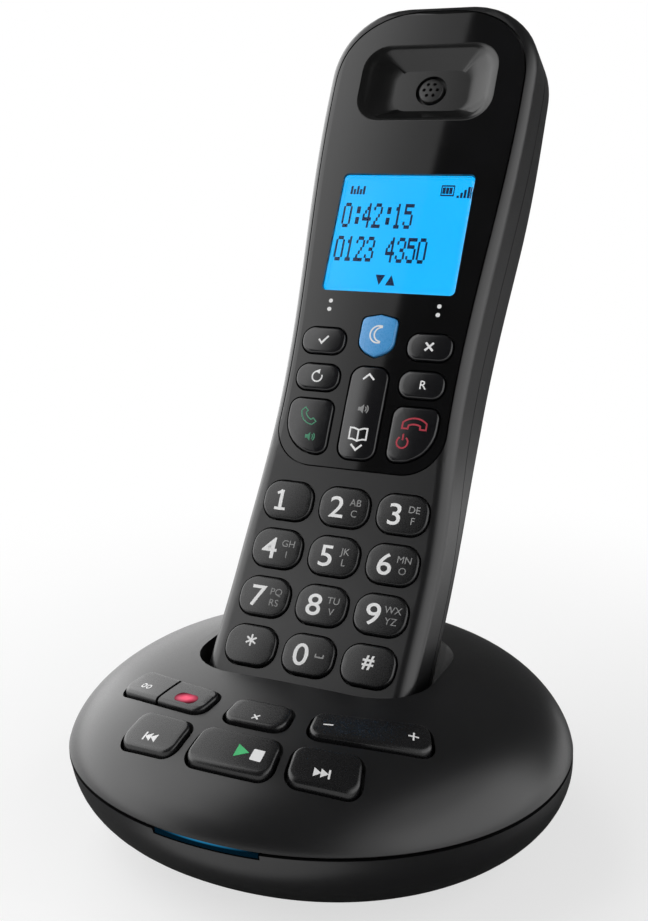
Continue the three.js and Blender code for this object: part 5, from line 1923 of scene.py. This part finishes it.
for side, sign in (("left", -1), ("right", 1)):
    lying = moved(sign * cell_column, cell_bottom, -cell_depth) @ rotated(-pi / 2, "X")
    cell = turned(cell_profile, lying)
    finish(cell, "cell_" + side, "cell_sleeve", "handset", ["battery_" + side], handset_frame)
    spot = (sign * screw_column, screw_place, head_low)
    sides = ((slit_length, slit_width), (slit_width, slit_length))
    slits = [block(*size, slit_depth, spot) for size in sides]
    screw = cut(turned(screw_profile, moved(*spot)), *slits)
    finish(screw, "cross_screw_" + side, "steel", "handset", ["handset_screw_" + side], handset_frame)

# %% [markdown]
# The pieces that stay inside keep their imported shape, and get the finish of their material: the
# boards, the mats, the loudspeaker and the metal contacts.

# %% Finishes of the inner pieces
inner_looks = {
    "base_circuit_board": "circuit_board",
    "handset_circuit_board": "circuit_board",
    "base_key_mat": "rubber",
    "handset_key_mat": "rubber",
    "base_speaker": "steel",
    "microphone": "steel",
    "battery_contact_strip": "steel",
    "charge_contact_left": "contacts",
    "charge_contact_right": "contacts",
}
for name, look in inner_looks.items():
    node = frame["nodes"][name]
    node.data.materials.clear()
    node.data.materials.append(materials[look])
print("inner pieces:", len(inner_looks))

# %% [markdown]
# The machine stands on white in front of white. The world is white for the camera, for reflections
# and for clear parts, and dim as a light. The floor is lit near the machine, where its shadow lies,
# and further out it blends into the same white.

# %% Floor and world
floor_size = 6000
floor_lit = 0.08
floor_white = 0.25
floor_least_glow = 0.65
world_light = 0.15


def stage_plane(name, width, height, place, look):
    """A flat sheet of the stage."""
    plane = as_piece(placed(grid(width, height), place), name)
    plane.data.transform(Matrix.Scale(millimetre, 4))
    plane.data.materials.append(materials[look])
    return plane


def seen_rays(tree):
    """1 for rays from the camera, from reflections and through clear parts, else 0."""
    rays = add_node(tree, "LightPath")
    seen = rays["Is Camera Ray"]
    for name in ("Is Glossy Ray", "Is Transmission Ray"):
        seen = add_node(tree, "Math", {0: seen, 1: rays[name]}, operation="MAXIMUM")["Value"]
    return seen


world = bpy.data.worlds.new("studio")
bpy.context.scene.world = world
world.use_nodes = True
sky = world.node_tree
lights = {"Color1": (world_light, world_light, world_light, 1), "Color2": (1, 1, 1, 1)}
sky_colour = add_node(sky, "MixRGB", {"Fac": seen_rays(sky), **lights})["Color"]
feed(sky, sky.nodes["Background"], {"Color": sky_colour})

floor, floor_shader = new_material("floor", (0.9, 0.9, 0.9), 0.8)
rise = {"From Min": floor_lit, "From Max": floor_white, "To Min": floor_least_glow}
whiteness = fading(floor, add_node(floor, "TexCoord")["Object"], rise)
share = add_node(floor, "Math", {0: whiteness, 1: seen_rays(floor)}, operation="MULTIPLY")["Value"]
white_light = add_node(floor, "Emission")["Emission"]
mixed = add_node(floor, "MixShader", {"Fac": share, 1: floor_shader.outputs["BSDF"], 2: white_light})["Shader"]
feed(floor, floor.nodes["Material Output"], {"Surface": mixed})
stage_plane("floor", floor_size, floor_size, Matrix(), "floor")

# %% [markdown]
# A black glossy object shows its lamps more than its colour. Two large round soft boxes stand at
# its sides, the left one brighter, and light its edges. Black cards in front, behind and above
# keep the middle dark. A dark card on the floor under the machine is painted shade: reflections
# see it in place of the floor's shade there. Only reflections see the cards, so they take no light away.

# %% Soft boxes and black cards
side_distance = 620
left_y = 120
left_height = 300
left_radius = 1000
left_brightness = 1.45
right_y = -220
right_height = 250
right_radius = 850
right_brightness = 0.85
card_distance = 1500
card_size = 3600
near_card_y = 300
near_card_width = 260
# The floor card is painted shade: a dark sheet under and behind the machine that reflections see in place of
# the shaded floor.
floor_shade_card_width = 150
floor_shade_card_back = 300


def soft_box(name, x, y, height, radius, brightness):
    """A round lamp that faces the middle plane. Its power follows from its face's brightness."""
    lamp = bpy.data.lights.new(name, "AREA")
    lamp.shape = "DISK"
    lamp.size = 2 * radius * millimetre
    lamp.energy = 4 * brightness * pi * (radius * millimetre) ** 2
    box = link(name, lamp)
    aim(box, Vector((x, y, height)) * millimetre, Vector((-x, 0, 0)))
    box.visible_camera = False


soft_box("left_soft_box", -side_distance, left_y, left_height, left_radius, left_brightness)
soft_box("right_soft_box", side_distance, right_y, right_height, right_radius, right_brightness)
# The black cards are studio flags; the floor card, of the same black, is painted shade.
new_material("black_flag_and_painted_shade", (0.09, 0.09, 0.09), 0.9)
upright = rotated(pi / 2, "X")
floor_shade_card_length = floor_shade_card_width / 2 + floor_shade_card_back
floor_shade_card_y = (floor_shade_card_back - floor_shade_card_width / 2) / 2
for name, width, length, place in (
    ("front_card", card_size, card_size, moved(0, -card_distance, 0) @ upright),
    ("rear_card", card_size, card_size, moved(0, card_distance, 0) @ upright),
    ("near_rear_card", near_card_width, card_size, moved(near_card_width / 6, near_card_y, 0) @ upright),
    ("top_card", card_size, card_size, moved(0, 0, card_distance)),
    # painted shade on the floor, for reflections only
    ("floor_card", floor_shade_card_width, floor_shade_card_length, moved(0, floor_shade_card_y, seat_gap)),
):
    card = stage_plane(name, width, length, place, "black_flag_and_painted_shade")
    for kind in ("camera", "diffuse", "transmission", "shadow"):
        setattr(card, "visible_" + kind, False)

# %% [markdown]
# The long line of light on the gloss panel is the edge of one more soft box, in front on the left.
# Its face is a sheet that glows, dimmer towards that edge, as a real soft box is. The sheet lies
# square to the ray that the panel's middle mirrors to the camera, and turned like the line.

# %% The front soft box
mirror_x = 4.6
mirror_place = 131.5
sheet_distance = 600
sheet_turn = radians(11.7)
sheet_edge = -3
sheet_width = 480
sheet_low = -330
sheet_high = 210
sheet_fade = 0.11
sheet_dim = 0.8
sheet_bright = 2.7

mirror_point = handset_frame @ Vector((mirror_x, mirror_place, 0))
from_camera = (mirror_point - camera_place / millimetre).normalized()
mirrored = from_camera - 2 * from_camera.dot(face_normal) * face_normal
sheet_frame = Matrix.Translation((mirror_point + mirrored * sheet_distance) * millimetre)
sheet_frame = sheet_frame @ (-mirrored).to_track_quat("Z", "Y").to_matrix().to_4x4()

sheet_tree, dark_shader = new_material("glowing_sheet", (0, 0, 0), 1)
sheet_tree.nodes.remove(dark_shader)
across = add_node(sheet_tree, "SeparateXYZ", {"Vector": add_node(sheet_tree, "TexCoord")["Object"]})["X"]
strength = eased(sheet_tree, across, {"From Max": sheet_fade, "To Min": sheet_dim, "To Max": sheet_bright})
sheet_light = add_node(sheet_tree, "Emission", {"Strength": strength})["Emission"]
feed(sheet_tree, sheet_tree.nodes["Material Output"], {"Surface": sheet_light})

sheet_middle = moved(sheet_edge + sheet_width / 2, (sheet_low + sheet_high) / 2, 0)
sheet = stage_plane("front_soft_box", sheet_width, sheet_high - sheet_low, sheet_middle, "glowing_sheet")
sheet.matrix_world = sheet_frame @ rotated(-sheet_turn, "Z")
sheet.visible_camera = False
print("the panel's middle mirrors", [round(value, 3) for value in mirrored], "from", mirror_point)
